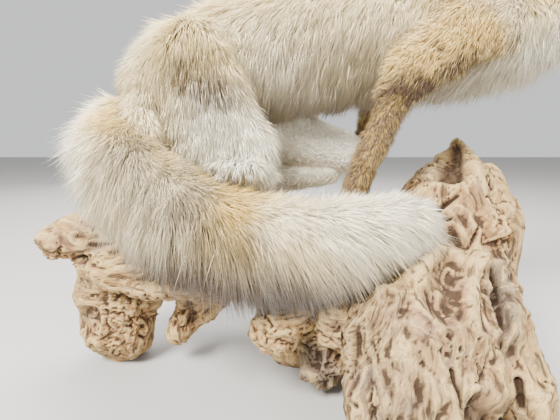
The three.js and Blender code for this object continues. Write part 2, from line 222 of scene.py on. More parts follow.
def cellNoise(points, salt=0):
    # distance from each point to the nearest of one random seed in every unit cell
    cell = np.floor(points)
    nearest = np.full(len(points), 9.0)
    for number in range(27):
        step = np.array([number % 3 - 1, number // 3 % 3 - 1, number // 9 - 1])
        seedCell = cell + step
        seed = seedCell + np.stack([lattice(seedCell, salt + k) for k in (1, 2, 3)], axis=1)
        nearest = np.minimum(nearest, np.linalg.norm(points - seed, axis=1))
    return nearest


# Each station is x, y, z, half width, height above and depth below the path, depth of coat.
headPlace = np.array([400.0, -12.0, 457.0])
headTurn, headDroop = math.radians(-22), math.radians(4)
limbs = {
    "trunk": {
        "stations": [
            (-174, 4, 352, 46, 40, 38, 22), (-142, 2, 366, 60, 60, 62, 25), (-94, 0, 380, 66, 74, 84, 26),
            (-40, 0, 392, 70, 82, 90, 26), (40, 0, 400, 68, 80, 94, 25), (120, 0, 404, 72, 80, 84, 24),
            (200, 0, 408, 76, 84, 90, 26), (262, 0, 408, 68, 72, 80, 26), (304, 0, 414, 54, 48, 58, 24)],
        "caps": (30, 30), "flow": -0.75, "fall": 1.5},
    "neck": {
        "stations": [
            (262, 0, 412, 70, 60, 66, 26), (304, -1, 428, 68, 58, 66, 27), (342, -4, 446, 64, 52, 62, 27),
            (372, -8, 456, 58, 42, 54, 22)],
        "caps": (20, 16), "flow": -1.0, "fall": 0.7},
    "head": {
        "stations": [
            (-50, 0, -6, 42, 34, 36, 13), (-38, 0, -4, 53, 44, 46, 14), (-14, 0, -2, 56, 44, 48, 12),
            (8, 0, -2, 46, 38, 40, 7.5), (26, 0, -5, 32, 29, 31, 4), (44, 0, -8, 23.5, 20, 24, 3),
            (64, 0, -10, 19, 16, 19, 2.4), (82, 0, -11, 15.5, 14, 14.5, 2),
            (93, 0, -11, 11.5, 11, 10.5, 1.5)],
        "caps": (16, 5), "inHead": True, "flow": -1.0, "fall": 0.05},
    "foreRightUpper": {
        "stations": [
            (238, -46, 424, 36, 50, 46, 14), (190, -60, 398, 37, 50, 46, 13), (146, -68, 368, 34, 44, 46, 12),
            (112, -70, 344, 27, 32, 34, 10)],
        "caps": (34, 24), "flow": 1.0, "fall": 0.25},
    "foreRightLower": {
        "stations": [
            (118, -69, 334, 22, 24, 24, 7), (108, -68, 308, 21, 21, 21, 6), (92, -67, 268, 19, 19, 18, 5.5),
            (80, -66, 232, 18, 18, 17, 5), (80, -66, 214, 20, 19, 17, 5)],
        "caps": (20, 12), "upward": (1, 0, 0), "flow": 1.0, "fall": 0.1},
    "foreLeftUpper": {
        "stations": [
            (236, 46, 420, 36, 48, 46, 14), (192, 56, 392, 36, 46, 44, 13), (150, 61, 356, 32, 38, 40, 12),
            (116, 61, 330, 25, 28, 28, 9)],
        "caps": (34, 24), "flow": 1.0, "fall": 0.25},
    "foreLeftLower": {
        "stations": [
            (124, 61, 318, 21, 22, 24, 6), (120, 61, 296, 19, 19, 20, 5.5), (112, 61, 262, 18, 17, 17, 5),
            (104, 61, 232, 18, 17, 16, 5), (104, 61, 214, 20, 18, 16, 5)],
        "caps": (20, 12), "upward": (1, 0, 0), "flow": 1.0, "fall": 0.1},
    "hindRightUpper": {
        "stations": [
            (-112, -44, 384, 44, 74, 66, 22), (-84, -60, 350, 42, 68, 84, 22),
            (-58, -67, 312, 38, 56, 80, 20),
            (-36, -70, 280, 34, 42, 64, 17), (-33, -70, 254, 29, 36, 48, 14)],
        "caps": (34, 24), "flow": 1.0, "fall": 1.0},
    "croup": {
        "stations": [
            (-150, -14, 352, 34, 34, 34, 18), (-150, -46, 322, 32, 36, 36, 18),
            (-138, -72, 292, 26, 30, 30, 16)],
        "caps": (20, 20), "flow": 1.0, "fall": 1.0},
    "hindRightLower": {
        "stations": [
            (-42, -68, 262, 26, 32, 30, 9), (-78, -66, 240, 24, 27, 27, 8),
            (-112, -64, 222, 19, 20, 20, 6)],
        "caps": (20, 12), "flow": 1.0, "fall": 0.3},
    "hindLeftUpper": {
        "stations": [
            (-88, 36, 374, 44, 66, 62, 18), (-40, 44, 334, 42, 56, 58, 12), (26, 50, 294, 38, 42, 44, 5),
            (86, 51, 272, 32, 34, 32, 4)],
        "caps": (34, 24), "flow": 1.0, "fall": 0.3},
    "hindLeftLower": {
        "stations": [
            (66, 54, 254, 26, 30, 28, 5), (4, 56, 237, 23, 25, 25, 6),
            (-50, 57, 222, 19, 20, 20, 6)],
        "caps": (20, 12), "flow": 1.0, "fall": 0.3},
    "tail": {
        "stations": [
            (-184, -22, 324, 36, 34, 36, 16), (-190, -52, 294, 48, 46, 50, 25),
            (-170, -82, 258, 59, 60, 60, 34), (-128, -98, 224, 63, 63, 63, 38),
            (-78, -108, 198, 64, 65, 65, 39), (-22, -112, 184, 63, 65, 65, 39),
            (34, -110, 180, 60, 63, 63, 38), (84, -104, 187, 55, 57, 57, 35), (124, -97, 197, 45, 46, 46, 29),
            (148, -92, 200, 30, 31, 31, 19)],
        "caps": (22, 18), "flow": 1.0, "fall": 0.2, "shift": 17},
}
tailBend = np.array([20.0, -80.0, 345.0])   # the middle of the tail's sweep, seen from the side
for earSide, earSign in (("Left", 1), ("Right", -1)):
    limbs["cheek" + earSide] = {
        "stations": [
            (0, 26 * earSign, -16, 22, 26, 26, 13), (-22, 48 * earSign, -22, 16, 21, 21, 12),
            (-40, 66 * earSign, -30, 7, 9, 9, 6)],
        "caps": (10, 10), "inHead": True, "flow": 1.0, "fall": 0.25}

paws = {                      # heel and length from heel to the front of the pad
    "ForeRight": ((80, -66), 46), "ForeLeft": ((104, 61), 46),
    "HindRight": ((-118, -58), 92), "HindLeft": ((-56, 57), 92),
}
pawShape = {"halfWidth": 18, "height": 30, "toes": 4, "toeSpread": 9.6, "coat": 4.0}
for pawName, ((heelX, heelY), pawReach) in paws.items():
    sole = 17.0
    limbs["paw" + pawName] = {
        "stations": [
            (heelX - 4, heelY, standHeight + sole, 17, 15, sole + 3, 4),
            (heelX + 0.45 * pawReach, heelY, standHeight + sole - 1, 18, 13, sole + 2, 4),
            (heelX + pawReach, heelY, standHeight + sole - 4, 20, 10, sole - 1, 4)],
        "caps": (14, 8), "flow": 1.0, "fall": 0.0}
    for toe in range(pawShape["toes"]):
        spread = toe - (pawShape["toes"] - 1) / 2
        toeX = heelX + pawReach + (6 if abs(spread) < 1 else -2)
        toeY = heelY + spread * pawShape["toeSpread"]
        limbs["paw" + pawName + "Toe" + str(toe)] = {
            "stations": [
                (toeX - 6, toeY, standHeight + 9, 5.4, 8, 10, 1.2),
                (toeX, toeY, standHeight + 9, 5.8, 8.4, 10, 1.2),
                (toeX + 5, toeY, standHeight + 8.4, 5.2, 7.4, 9, 1.2)],
            "caps": (6, 8), "flow": 1.0, "fall": 0.0}


def headToWorld(points):
    # turn about Z after a droop about Y; the move to the head's place is left to the caller
    ct, st, cd, sd = math.cos(headTurn), math.sin(headTurn), math.cos(headDroop), math.sin(headDroop)
    droop = np.array([[cd, 0, sd], [0, 1, 0], [-sd, 0, cd]])
    turn = np.array([[ct, -st, 0], [st, ct, 0], [0, 0, 1]])
    return np.asarray(points, float) @ (turn @ droop).T


def worldToHead(points):
    # the way back: from world axes to those of the head
    ct, st, cd, sd = math.cos(headTurn), math.sin(headTurn), math.cos(headDroop), math.sin(headDroop)
    droop = np.array([[cd, 0, sd], [0, 1, 0], [-sd, 0, cd]])
    turn = np.array([[ct, -st, 0], [st, ct, 0], [0, 0, 1]])
    return (np.asarray(points, float) - headPlace) @ (turn @ droop)


def spline(rows, at):
    # Catmull-Rom curve through evenly spaced rows; at runs from 0 to 1
    rows = np.asarray(rows, float)
    last = len(rows) - 1
    padded = np.vstack([2 * rows[0] - rows[1], rows, 2 * rows[-1] - rows[-2]])
    place = np.clip(np.asarray(at) * last, 0, last)
    start = np.minimum(place.astype(int), last - 1)
    share = (place - start)[:, None]
    p0, p1, p2, p3 = (padded[start + k] for k in range(4))
    square, cube = share ** 2, share ** 3
    return 0.5 * (2 * p1 + (p2 - p0) * share + (2 * p0 - 5 * p1 + 4 * p2 - p3) * square
                  + (3 * p1 - p0 - 3 * p2 + p3) * cube)


def outOfBend(points, along):
    # away from the middle of the tail's sweep, square to the tail
    away = (points - tailBend) * np.array([1, 0, 1])
    return unit(away - along * np.einsum("nc,nc->n", away, along)[:, None])


def limbFrames(limb, at):
    # centre, direction, side and above vectors, radii and coat depth at each place along a limb
    rows = spline(limb["stations"], at)
    step = 1e-3
    ahead = spline(limb["stations"], np.minimum(at + step, 1))[:, :3]
    behind = spline(limb["stations"], np.maximum(at - step, 0))[:, :3]
    along = unit(ahead - behind)
    side = unit(np.cross(along, np.array(limb.get("upward", (0, 0, 1)), float)))
    above = np.cross(side, along)
    centre = rows[:, :3]
    if "shift" in limb:
        centre = centre - outOfBend(centre, along) * limb["shift"] * np.clip(rows[:, 3:4] / 60, 0, 1)
    if limb.get("inHead"):
        centre = headToWorld(centre) + headPlace
        along, side, above = headToWorld(along), headToWorld(side), headToWorld(above)
    return centre, along, side, above, rows[:, 3:6], rows[:, 6]


def closedTube(rings):
    # rings (rows, sides, 3), the first and last row drawn together to a point; returns points, triangles
    rows, sides, _ = rings.shape
    points = np.vstack([rings.reshape(-1, 3), rings[0].mean(0), rings[-1].mean(0)])
    row, corner = np.meshgrid(np.arange(rows - 1), np.arange(sides), indexing="ij")
    a = (row * sides + corner).ravel()
    b = (row * sides + (corner + 1) % sides).ravel()
    skin = np.vstack([np.stack([a, b, a + sides], 1), np.stack([b, b + sides, a + sides], 1)])
    turn = np.arange(sides)
    first = np.stack([np.full(sides, rows * sides), (turn + 1) % sides, turn], 1)
    end = (rows - 1) * sides
    last = np.stack([np.full(sides, rows * sides + 1), end + turn, end + (turn + 1) % sides], 1)
    triangles = np.vstack([skin, first, last])
    corners = points[triangles]
    volume = np.einsum("ij,ij->i", corners[:, 0], np.cross(corners[:, 1], corners[:, 2])).sum()
    return points, triangles if volume > 0 else triangles[:, ::-1]


def limbSurface(limb, rows=30, sides=28):
    # an oval of the limb's radii less its coat, carried along its path, with quarter-round ends
    capTurns = np.linspace(0.12, 0.9, 5) * math.pi / 2
    at = np.concatenate([np.zeros(5), np.linspace(0, 1, rows), np.ones(5)])
    centre, along, side, above, radii, coat = limbFrames(limb, at)
    startCap = max(limb["caps"][0] - coat[0], 2)
    endCap = max(limb["caps"][1] - coat[-1], 2)
    push = np.concatenate([-startCap * np.sin(capTurns)[::-1], np.zeros(rows), endCap * np.sin(capTurns)])
    scale = np.concatenate([np.cos(capTurns)[::-1], np.ones(rows), np.cos(capTurns)])
    swing = np.arange(sides) / sides * 2 * math.pi
    lift = np.where(np.sin(swing) > 0, (radii[:, 1] - coat)[:, None], (radii[:, 2] - coat)[:, None])
    out = ((radii[:, 0] - coat) * scale)[:, None] * np.cos(swing)
    lift = lift * scale[:, None] * np.sin(swing)
    rings = (centre + along * push[:, None])[:, None] + side[:, None] * out[..., None]
    rings = rings + above[:, None] * lift[..., None]
    return closedTube(rings)


ears = {
    "place": (-36, 32, 30),   # of the left ear's root, in the head's axes
    "height": 78,
    "halfWidth": 27,
    "wall": 5.4,
    "hollow": 15,
    "coat": 2.6,
    "opening": 26,            # degrees
    "splay": -16,             # degrees
    "box": (26, 34, 12, 100),   # half depth, half width, lowest and highest place that counts as ear
    "reach": 160,
}


def earFrame(sign):
    # the ear's own axes in the head: splayed outward about X, opened outward about Z
    splay, opening = math.radians(ears["splay"] * sign), math.radians(ears["opening"] * sign)
    cs, ss, co, so = math.cos(splay), math.sin(splay), math.cos(opening), math.sin(opening)
    tilt = np.array([[1, 0, 0], [0, cs, -ss], [0, ss, cs]])
    spin = np.array([[co, -so, 0], [so, co, 0], [0, 0, 1]])
    return tilt @ spin, np.array([ears["place"][0], ears["place"][1] * sign, ears["place"][2]], float)


def earSurface(sign, rows=26, sides=32):
    # a crescent carried up the ear: half width falls as (1 - h^1.9)^0.75, the hollow fades to the tip
    height = np.linspace(0, 1, rows)
    half = ears["halfWidth"] * (1 - height ** 1.9) ** 0.75 + 1.0
    hollow = (ears["hollow"] - 9 * height) * np.minimum(1, half / 12)
    wall = ears["wall"] - 1.7 * height
    swing = np.arange(sides) / sides * 2 * math.pi
    fold = 1.6 * np.exp(-((height - 0.16) / 0.1) ** 2)
    across = half[:, None] * np.cos(swing)
    forward = wall[:, None] / 2 * np.sin(swing) - hollow[:, None] * np.sin(swing) ** 2
    forward = forward + fold[:, None] * np.cos(3 * swing)
    rings = np.stack([forward + (6 * height ** 2)[:, None], across + (6 * height * sign)[:, None],
                      np.repeat((height * (ears["height"] - 2))[:, None], sides, 1)], axis=-1)
    rings[0, :, 2] -= 12
    rotate, place = earFrame(sign)
    return closedTube(headToWorld(rings @ rotate.T + place) + headPlace)


def limbSamples(count=48):
    # each limb as a row of ovals: centre, axes, radii inside the coat, its depth, limb number, place
    names = list(limbs)
    columns = []
    for number, name in enumerate(names):
        centre, along, side, above, radii, coat = limbFrames(limbs[name], np.linspace(0, 1, count))
        inner = np.maximum(radii - coat[:, None], 3)
        mark = np.full((count, 1), number)
        columns.append(np.hstack([centre, along, side, above, inner, coat[:, None], mark,
                                  np.linspace(0, 1, count)[:, None]]))
    return names, np.vstack(columns)


def locate(points, samples):
    # for each point the limb sample whose oval fits it best: row number and angle round the limb
    best = np.full(len(points), 1e9)
    row = np.zeros(len(points), int)
    for start in range(0, len(samples), 16):
        block = samples[start:start + 16]
        gap = points[:, None] - block[None, :, :3]
        out = np.einsum("nkc,kc->nk", gap, block[:, 6:9]) / block[:, 12]
        lift = np.einsum("nkc,kc->nk", gap, block[:, 9:12])
        lift = lift / np.where(lift > 0, block[:, 13], block[:, 14])
        off = np.einsum("nkc,kc->nk", gap, block[:, 3:6]) / 14
        fit = np.sqrt(out ** 2 + lift ** 2) + off ** 2 * 0.6
        pick = fit.argmin(1)
        value = fit[np.arange(len(points)), pick]
        nearer = value < best
        best[nearer] = value[nearer]
        row[nearer] = start + pick[nearer]
    chosen = samples[row]
    gap = points - chosen[:, :3]
    lift = np.einsum("nc,nc->n", gap, chosen[:, 9:12])
    out = np.einsum("nc,nc->n", gap, chosen[:, 6:9])
    return chosen, np.arctan2(lift, out)


markPatches = [               # limb, mask, from (x, z) to (x, z), radius (mm), strength
    ("trunk", "warm", (-130, 470), (240, 490), 46, 0.42),
    ("trunk", "grey", (20, 345), (130, 345), 46, 0.42),
    ("trunk", "pale", (-10, 360), (10, 330), 34, 0.35),
    ("trunk", "dark", (-40, 400), (190, 380), 40, 0.13),
    # painted shade: grey along the lower edge of the belly
    ("trunk", "grey", (-20, 310), (330, 345), 24, 0.95),
    ("trunk", "pale", (180, 345), (330, 370), 30, 0.7),
    ("trunk", "warm", (170, 415), (235, 420), 34, 0.5),
    # painted shade: the next two grey patches darken the underside of the chest and neck
    ("trunk", "grey", (250, 360), (330, 372), 26, 0.55),
    ("neck", "grey", (270, 350), (330, 372), 26, 0.5),
    ("hindRightUpper", "warm", (-110, 400), (-60, 350), 44, 0.40),
    ("hindLeftUpper", "warm", (-100, 400), (-50, 350), 44, 0.4),
    ("hindRightUpper", "dark", (-90, 356), (-58, 330), 24, 0.58),
    ("hindLeftUpper", "dark", (-76, 345), (-42, 332), 18, 0.6),
    ("hindRightUpper", "dark", (-96, 338), (-58, 330), 18, 0.62),
    ("hindRightUpper", "pale", (-66, 296), (-30, 262), 46, 0.95),
    ("hindLeftUpper", "pale", (20, 300), (90, 270), 62, 1.0),
    ("hindRightLower", "pale", (-120, 225), (-30, 265), 40, 0.9),
    ("hindLeftLower", "pale", (-60, 225), (90, 265), 40, 0.85),
    ("foreRightUpper", "warm", (105, 345), (205, 402), 46, 0.8),
    ("foreLeftUpper", "warm", (105, 345), (205, 402), 46, 1.0),
    ("foreRightUpper", "dark", (100, 324), (150, 338), 16, 0.95),
    ("foreRightUpper", "dark", (150, 338), (198, 362), 14, 0.8),
    ("foreLeftUpper", "dark", (100, 322), (190, 356), 15, 0.75),
    ("foreRightUpper", "dark", (150, 372), (154, 370), 5, 0.75),
    ("foreRightUpper", "pale", (210, 440), (260, 400), 26, 0.5),
    ("foreRightUpper", "pale", (118, 306), (144, 313), 9, 0.9),
    ("neck", "warm", (270, 480), (380, 500), 52, 0.75),
    ("neck", "pale", (260, 350), (390, 400), 46, 1.0),
    ("tail", "warm", (-170, 318), (-78, 284), 26, 0.75),
    ("tail", "warm", (-78, 284), (-36, 250), 28, 1.0),
    ("tail", "warm", (-36, 250), (-46, 190), 38, 0.95),
    ("tail", "warm", (-20, 235), (60, 246), 22, 0.55),
    ("tail", "grey", (-85, 205), (-20, 150), 34, 0.62),
    ("tail", "pale", (-235, 300), (-215, 220), 40, 0.85),
    ("tail", "pale", (70, 215), (150, 210), 46, 0.6),
    ("tail", "pale", (-10, 205), (40, 240), 20, 0.4),
    ("tail", "grey", (-145, 268), (-80, 205), 36, 0.72),
    ("tail", "grey", (-150, 172), (70, 126), 28, 0.95),
    ("tail", "dark", (-120, 156), (60, 120), 26, 1.0),
    ("tail", "dark", (-75, 235), (-30, 185), 26, 0.34),
    ("tail", "warm", (-60, 205), (30, 170), 30, 0.30),
]
maskNames = ["warm", "dark", "pale", "grey"]


def markings(points, limbName, at):
    # four masks for each place: warm, dark, pale and grey, with soft uneven edges
    wobble = np.stack([layeredNoise(points / 22.0, 3, 5 * k + 3) - 0.5 for k in range(2)], 1) * 30
    flat = points[:, [0, 2]] + wobble
    masks = np.zeros((len(points), 4))
    for limb, mask, start, end, radius, strength in markPatches:
        start, end = np.array(start, float), np.array(end, float)
        span = end - start
        share = np.clip((flat - start) @ span / max(span @ span, 1), 0, 1)
        reach = np.linalg.norm(flat - start - share[:, None] * span, axis=1) / radius
        column = maskNames.index(mask)
        value = strength * (1 - smoothStep(0.25, 1.55, reach)) * (limbName == limb)
        masks[:, column] = np.maximum(masks[:, column], value)
    lower = np.char.find(limbName, "Lower") > 0
    paw = np.char.find(limbName, "paw") == 0
    fore = np.char.find(limbName, "fore") == 0
    masks[:, 0] = np.where(lower & fore, 1.0, masks[:, 0])
    masks[:, 1] = np.where(lower & fore, 0.84 + 0.02 * smoothStep(0.5, 1, at), masks[:, 1])
    masks[:, 0] = np.where(paw, 0.9, masks[:, 0])
    masks[:, 1] = np.where(paw, 0.60, masks[:, 1])
    masks[paw | (lower & fore), 2] = 0
    onHead = np.isin(limbName, ["head", "cheekLeft", "cheekRight", "earLeft", "earRight"])
    if onHead.any():
        masks[onHead] = faceMarkings(worldToHead(points[onHead]))
    return np.clip(masks, 0, 1)


def faceMarkings(place):
    # ochre brow and cheeks, white lips and chin, dark tear lines, all in head axes
    x, side, z = place[:, 0], np.abs(place[:, 1]), place[:, 2]
    masks = np.zeros((len(place), 4))
    masks[:, 0] = 0.85 * smoothStep(-22, 2, z + 0.25 * (60 - x) * 0.1)
    lips = smoothStep(-6, -14, z + 0.10 * (x - 60)) * smoothStep(4, 26, x)
    throat = smoothStep(-14, -30, z)
    masks[:, 2] = np.maximum(lips, throat)
    masks[:, 0] *= 1 - masks[:, 2]
    tear = np.exp(-(((z - 10 + (x - 30) * 0.36) / 2.8) ** 2)) * smoothStep(28, 34, x) * smoothStep(62, 44, x)
    masks[:, 1] = 0.5 * tear * smoothStep(6, 9, side)
    return masks


def eyePlaces():
    # the middle of each eye, in mm, taken from its solid
    places = {}
    for name in ("left", "right"):
        low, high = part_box("eye_" + name)
        places[name] = (np.array(low) + np.array(high)) / 2 / mm
    return places


eyes = {
    "radius": 8.0,
    "gaze": (0.70, 0.70, 0.10),
    "slant": 18,              # degrees, outer corner up
    "opening": (6.6, 3.7),    # half width and half height between the lids
    "lid": 0.9,               # how thick the lids are over the ball
    "sink": 2.2,              # how far the skin goes in behind the opening
    "reach": 26,
}
face = {"reach": 130, "from": 15, "mouth": 2.0, "philtrum": 1.6, "stop": 1.2, "pads": 1.5}   # mm


def eyeAxes(sign):
    # gaze, along-the-lids and across-the-lids directions of one eye, in world axes
    gaze = unit(np.array([eyes["gaze"][0], eyes["gaze"][1] * sign, eyes["gaze"][2]]))
    level = unit(np.cross([0, 0, 1.0], gaze))
    up = np.cross(gaze, level)
    slant = math.radians(eyes["slant"]) * (-sign)
    along = level * math.cos(slant) + up * math.sin(slant)
    across = np.cross(gaze, along)
    return headToWorld(gaze), headToWorld(along), headToWorld(across)


def shapeFace(points):
    # sinks the eye openings, lifts the lids round them and draws the mouth and lip folds
    dark = np.zeros(len(points))
    for name, centre in eyePlaces().items():
        gaze, along, across = eyeAxes(1 if name == "left" else -1)
        gap = points - centre
        distance = np.linalg.norm(gap, axis=1)
        outward = unit(gap)
        front = outward @ gaze
        lidRadius = eyes["radius"] + eyes["lid"]
        wide = np.abs(outward @ along) * lidRadius / eyes["opening"][0]
        tall = np.abs(outward @ across) * lidRadius / eyes["opening"][1]
        reach = (wide ** 1.6 + tall ** 1.6) ** 0.625
        near = (front > -0.25) & (distance < eyes["reach"])
        inside = near & (reach < 1) & (front > 0)
        far = smoothStep(1.15, 2.3, reach)
        lifted = np.maximum(lidRadius * (1 - far) + distance * far, lidRadius)
        fade = smoothStep(-0.25, 0.1, front)
        settled = distance * (1 - fade) + lifted * fade
        settled = np.where(inside, eyes["radius"] - eyes["sink"], settled)
        points[near] = centre + outward[near] * settled[near, None]
        dark = np.maximum(dark, near * (front > 0) * smoothStep(1.40, 1.10, reach))
    place = worldToHead(points)
    x, z = place[:, 0], place[:, 2]
    mouthLine = -21.5 + 0.0016 * (x - 62) ** 2
    mouth = np.exp(-((z - mouthLine) / 1.5) ** 2) * smoothStep(24, 32, x) * smoothStep(99, 95, x)
    philtrum = np.exp(-(place[:, 1] / 1.1) ** 2) * smoothStep(90, 94, x)
    philtrum = philtrum * smoothStep(-22, -18, z) * smoothStep(-6, -9, z)
    pads = np.exp(-(((x - 78) / 12) ** 2) - ((z + 12) / 7) ** 2) * (np.abs(place[:, 1]) > 3)
    stop = np.exp(-((x - 30) / 12) ** 2 - (place[:, 1] / 5) ** 2) * (z > 0)
    outward = unit(np.stack([np.zeros(len(points)), place[:, 1], z + 10], 1))
    push = face["pads"] * pads - face["mouth"] * mouth - face["philtrum"] * philtrum - face["stop"] * stop
    place = place + outward * push[:, None]
    dark = np.maximum(dark, np.maximum(mouth, philtrum) * 0.95)
    head = (x > face["from"]) & (np.linalg.norm(points - headPlace, axis=1) < face["reach"])
    points[head] = headToWorld(place[head]) + headPlace
    return points, dark * (np.linalg.norm(points - headPlace, axis=1) < face["reach"])


skinShape = {
    "voxel": 1.75,            # mm
    "fineFrom": 338,          # the mesh keeps its full fineness ahead of this x
    "bodyShare": 0.26,        # share of the triangles kept behind it
    "filletAbove": (285, 325),
    "filletBehind": (352, 330),
    "filletEdge": 12,
    "filleting": 170,         # rounds of evening out where the limbs join the trunk
    "smoothing": 4,
}


def makeSkin():
    # every limb and ear merged into one closed skin, thinned on the body and evened out
    surfaces = [limbSurface(limb) for limb in limbs.values()]
    surfaces += [earSurface(1), earSurface(-1)]
    piece = joinSurfaces("skin", surfaces)
    remesh = piece.modifiers.new("remesh", "REMESH")
    remesh.mode, remesh.voxel_size = "VOXEL", skinShape["voxel"] * mm
    bakeModifiers(piece)
    whole = readPoints(piece.data) / mm
    group = piece.vertex_groups.new(name="body")
    body = np.where(whole[:, 0] < skinShape["fineFrom"])[0]
    group.add(body.tolist(), 1.0, "REPLACE")
    thin = piece.modifiers.new("thin", "DECIMATE")
    thin.ratio, thin.vertex_group, thin.vertex_group_factor = skinShape["bodyShare"], "body", 4.0
    bakeModifiers(piece)
    piece.vertex_groups.clear()
    mesh = piece.data
    whole = readPoints(mesh) / mm
    soft = smoothStep(*skinShape["filletAbove"], whole[:, 2])
    soft = soft * smoothStep(*skinShape["filletBehind"], whole[:, 0])
    soft = evenOut(soft[:, None], readEdges(mesh), skinShape["filletEdge"])
    whole = whole * (1 - soft) + soft * evenOut(whole, readEdges(mesh), skinShape["filleting"])
    whole = evenOut(whole, readEdges(mesh), skinShape["smoothing"])
    whole, dark = shapeFace(whole)
    writePoints(mesh, whole * mm)
    mesh.polygons.foreach_set("use_smooth", np.full(len(mesh.polygons), True))
    mesh.update()
    print("skin", len(mesh.vertices), "vertices", len(readTriangles(mesh)), "triangles")
    return piece, dark


def bakeModifiers(piece):
    # replaces the mesh by what its modifiers make of it
    shown = piece.evaluated_get(bpy.context.evaluated_depsgraph_get())
    mesh = bpy.data.meshes.new_from_object(shown)
    mesh.name = piece.name
    old = piece.data
    piece.modifiers.clear()
    piece.data = mesh
    bpy.data.meshes.remove(old)


def mapSkin(piece, dark):
    # everything the coat needs to know at each vertex: limb, place, angle, lie of the hair and masks
    mesh = piece.data
    points, normals, edges = readPoints(mesh) / mm, readNormals(mesh), readEdges(mesh)
    names, samples = limbSamples()
    chosen, angle = locate(points, samples)
    limbNumber = chosen[:, 16].astype(int)
    limbName = np.array(names)[limbNumber]
    at, coat = chosen[:, 17], chosen[:, 15]
    lie = chosen[:, 3:6] * np.array([limbs[name]["flow"] for name in names])[limbNumber][:, None]
    fall = np.array([limbs[name]["fall"] for name in names])[limbNumber]
    lie = lie + np.stack([0 * fall, 0 * fall, -fall], 1)
    brush = (limbName == "tail")[:, None]
    away = outOfBend(points, unit(chosen[:, 3:6]))
    turned = np.einsum("nc,nc->n", normals, away)[:, None]
    splayed = chosen[:, 3:6] * (0.9 - 0.45 * turned) + away * (0.75 + 0.35 * turned) + [0, 0, -0.15]
    lie = np.where(brush, splayed, lie)
    for sign, name in ((1, "earLeft"), (-1, "earRight")):
        rotate, place = earFrame(sign)
        local = (worldToHead(points) - place) @ rotate
        deep, wide, low, high = ears["box"]
        onEar = (local[:, 2] > low) & (local[:, 2] < high)
        onEar &= (np.abs(local[:, 1]) < wide) & (np.abs(local[:, 0]) < deep)
        onEar &= np.linalg.norm(points - headPlace, axis=1) < ears["reach"]
        limbName = np.where(onEar, name, limbName)
        coat = np.where(onEar, ears["coat"], coat)
        at = np.where(onEar, np.clip(local[:, 2] / ears["height"], 0, 1), at)
        angle = np.where(onEar, np.arctan2(local[:, 0], local[:, 1]), angle)
        lie = np.where(onEar[:, None], headToWorld(np.array([[0, 0, 1.0]]) @ rotate.T), lie)
    lie = lie - normals * np.einsum("nc,nc->n", lie, normals)[:, None]
    lie = evenOut(unit(lie), edges, 26)
    lie = unit(lie - normals * np.einsum("nc,nc->n", lie, normals)[:, None])
    longer = limbs["tail"]["shift"] * np.clip(coat / 38, 0, 1) * turned[:, 0] * 1.25
    coat = coat + np.where(brush[:, 0], longer, 0)
    coat = evenOut(coat[:, None], edges, 6)[:, 0]
    masks = markings(points, limbName, at)
    for sign, name in ((1, "earLeft"), (-1, "earRight")):
        rotate, place = earFrame(sign)
        local = (worldToHead(points) - place) @ rotate
        front = (headToWorld(rotate[:, 0][None])[0] * normals).sum(1) > 0.1
        rim = smoothStep(0.45, 0.9, np.abs(local[:, 1]) / (ears["halfWidth"] * (1 - at ** 1.9 * 0.9) ** 0.75))
        inside, behind = (limbName == name) & front, (limbName == name) & ~front
        coat = np.where(inside, 2.5 + 6.5 * rim * (1 - at) + 3 * (1 - at), coat)
        masks[inside] = [0.25, 0.0, 0.75, 0.0]
        masks[behind] = np.stack([0.45 + 0 * at, smoothStep(0.12, 0.42, at), 0 * at, 0 * at], 1)[behind]
    masks = evenOut(masks, edges, 3)
    masks[:, 1] = np.maximum(masks[:, 1], dark)
    writeColour(mesh, "marks", masks)
    # the hide counts as a quarter of the way up a lock, so it takes part of the painted root shade
    strand = np.stack([0.25 + 0 * at, valueNoise(points / 3.0, 40), dark, np.ones(len(points))], 1)
    writeColour(mesh, "strand", strand)
    return {"points": points, "normals": normals, "limb": limbName, "at": at, "angle": angle, "coat": coat,
            "lie": lie, "masks": masks, "dark": dark, "triangles": readTriangles(mesh)}


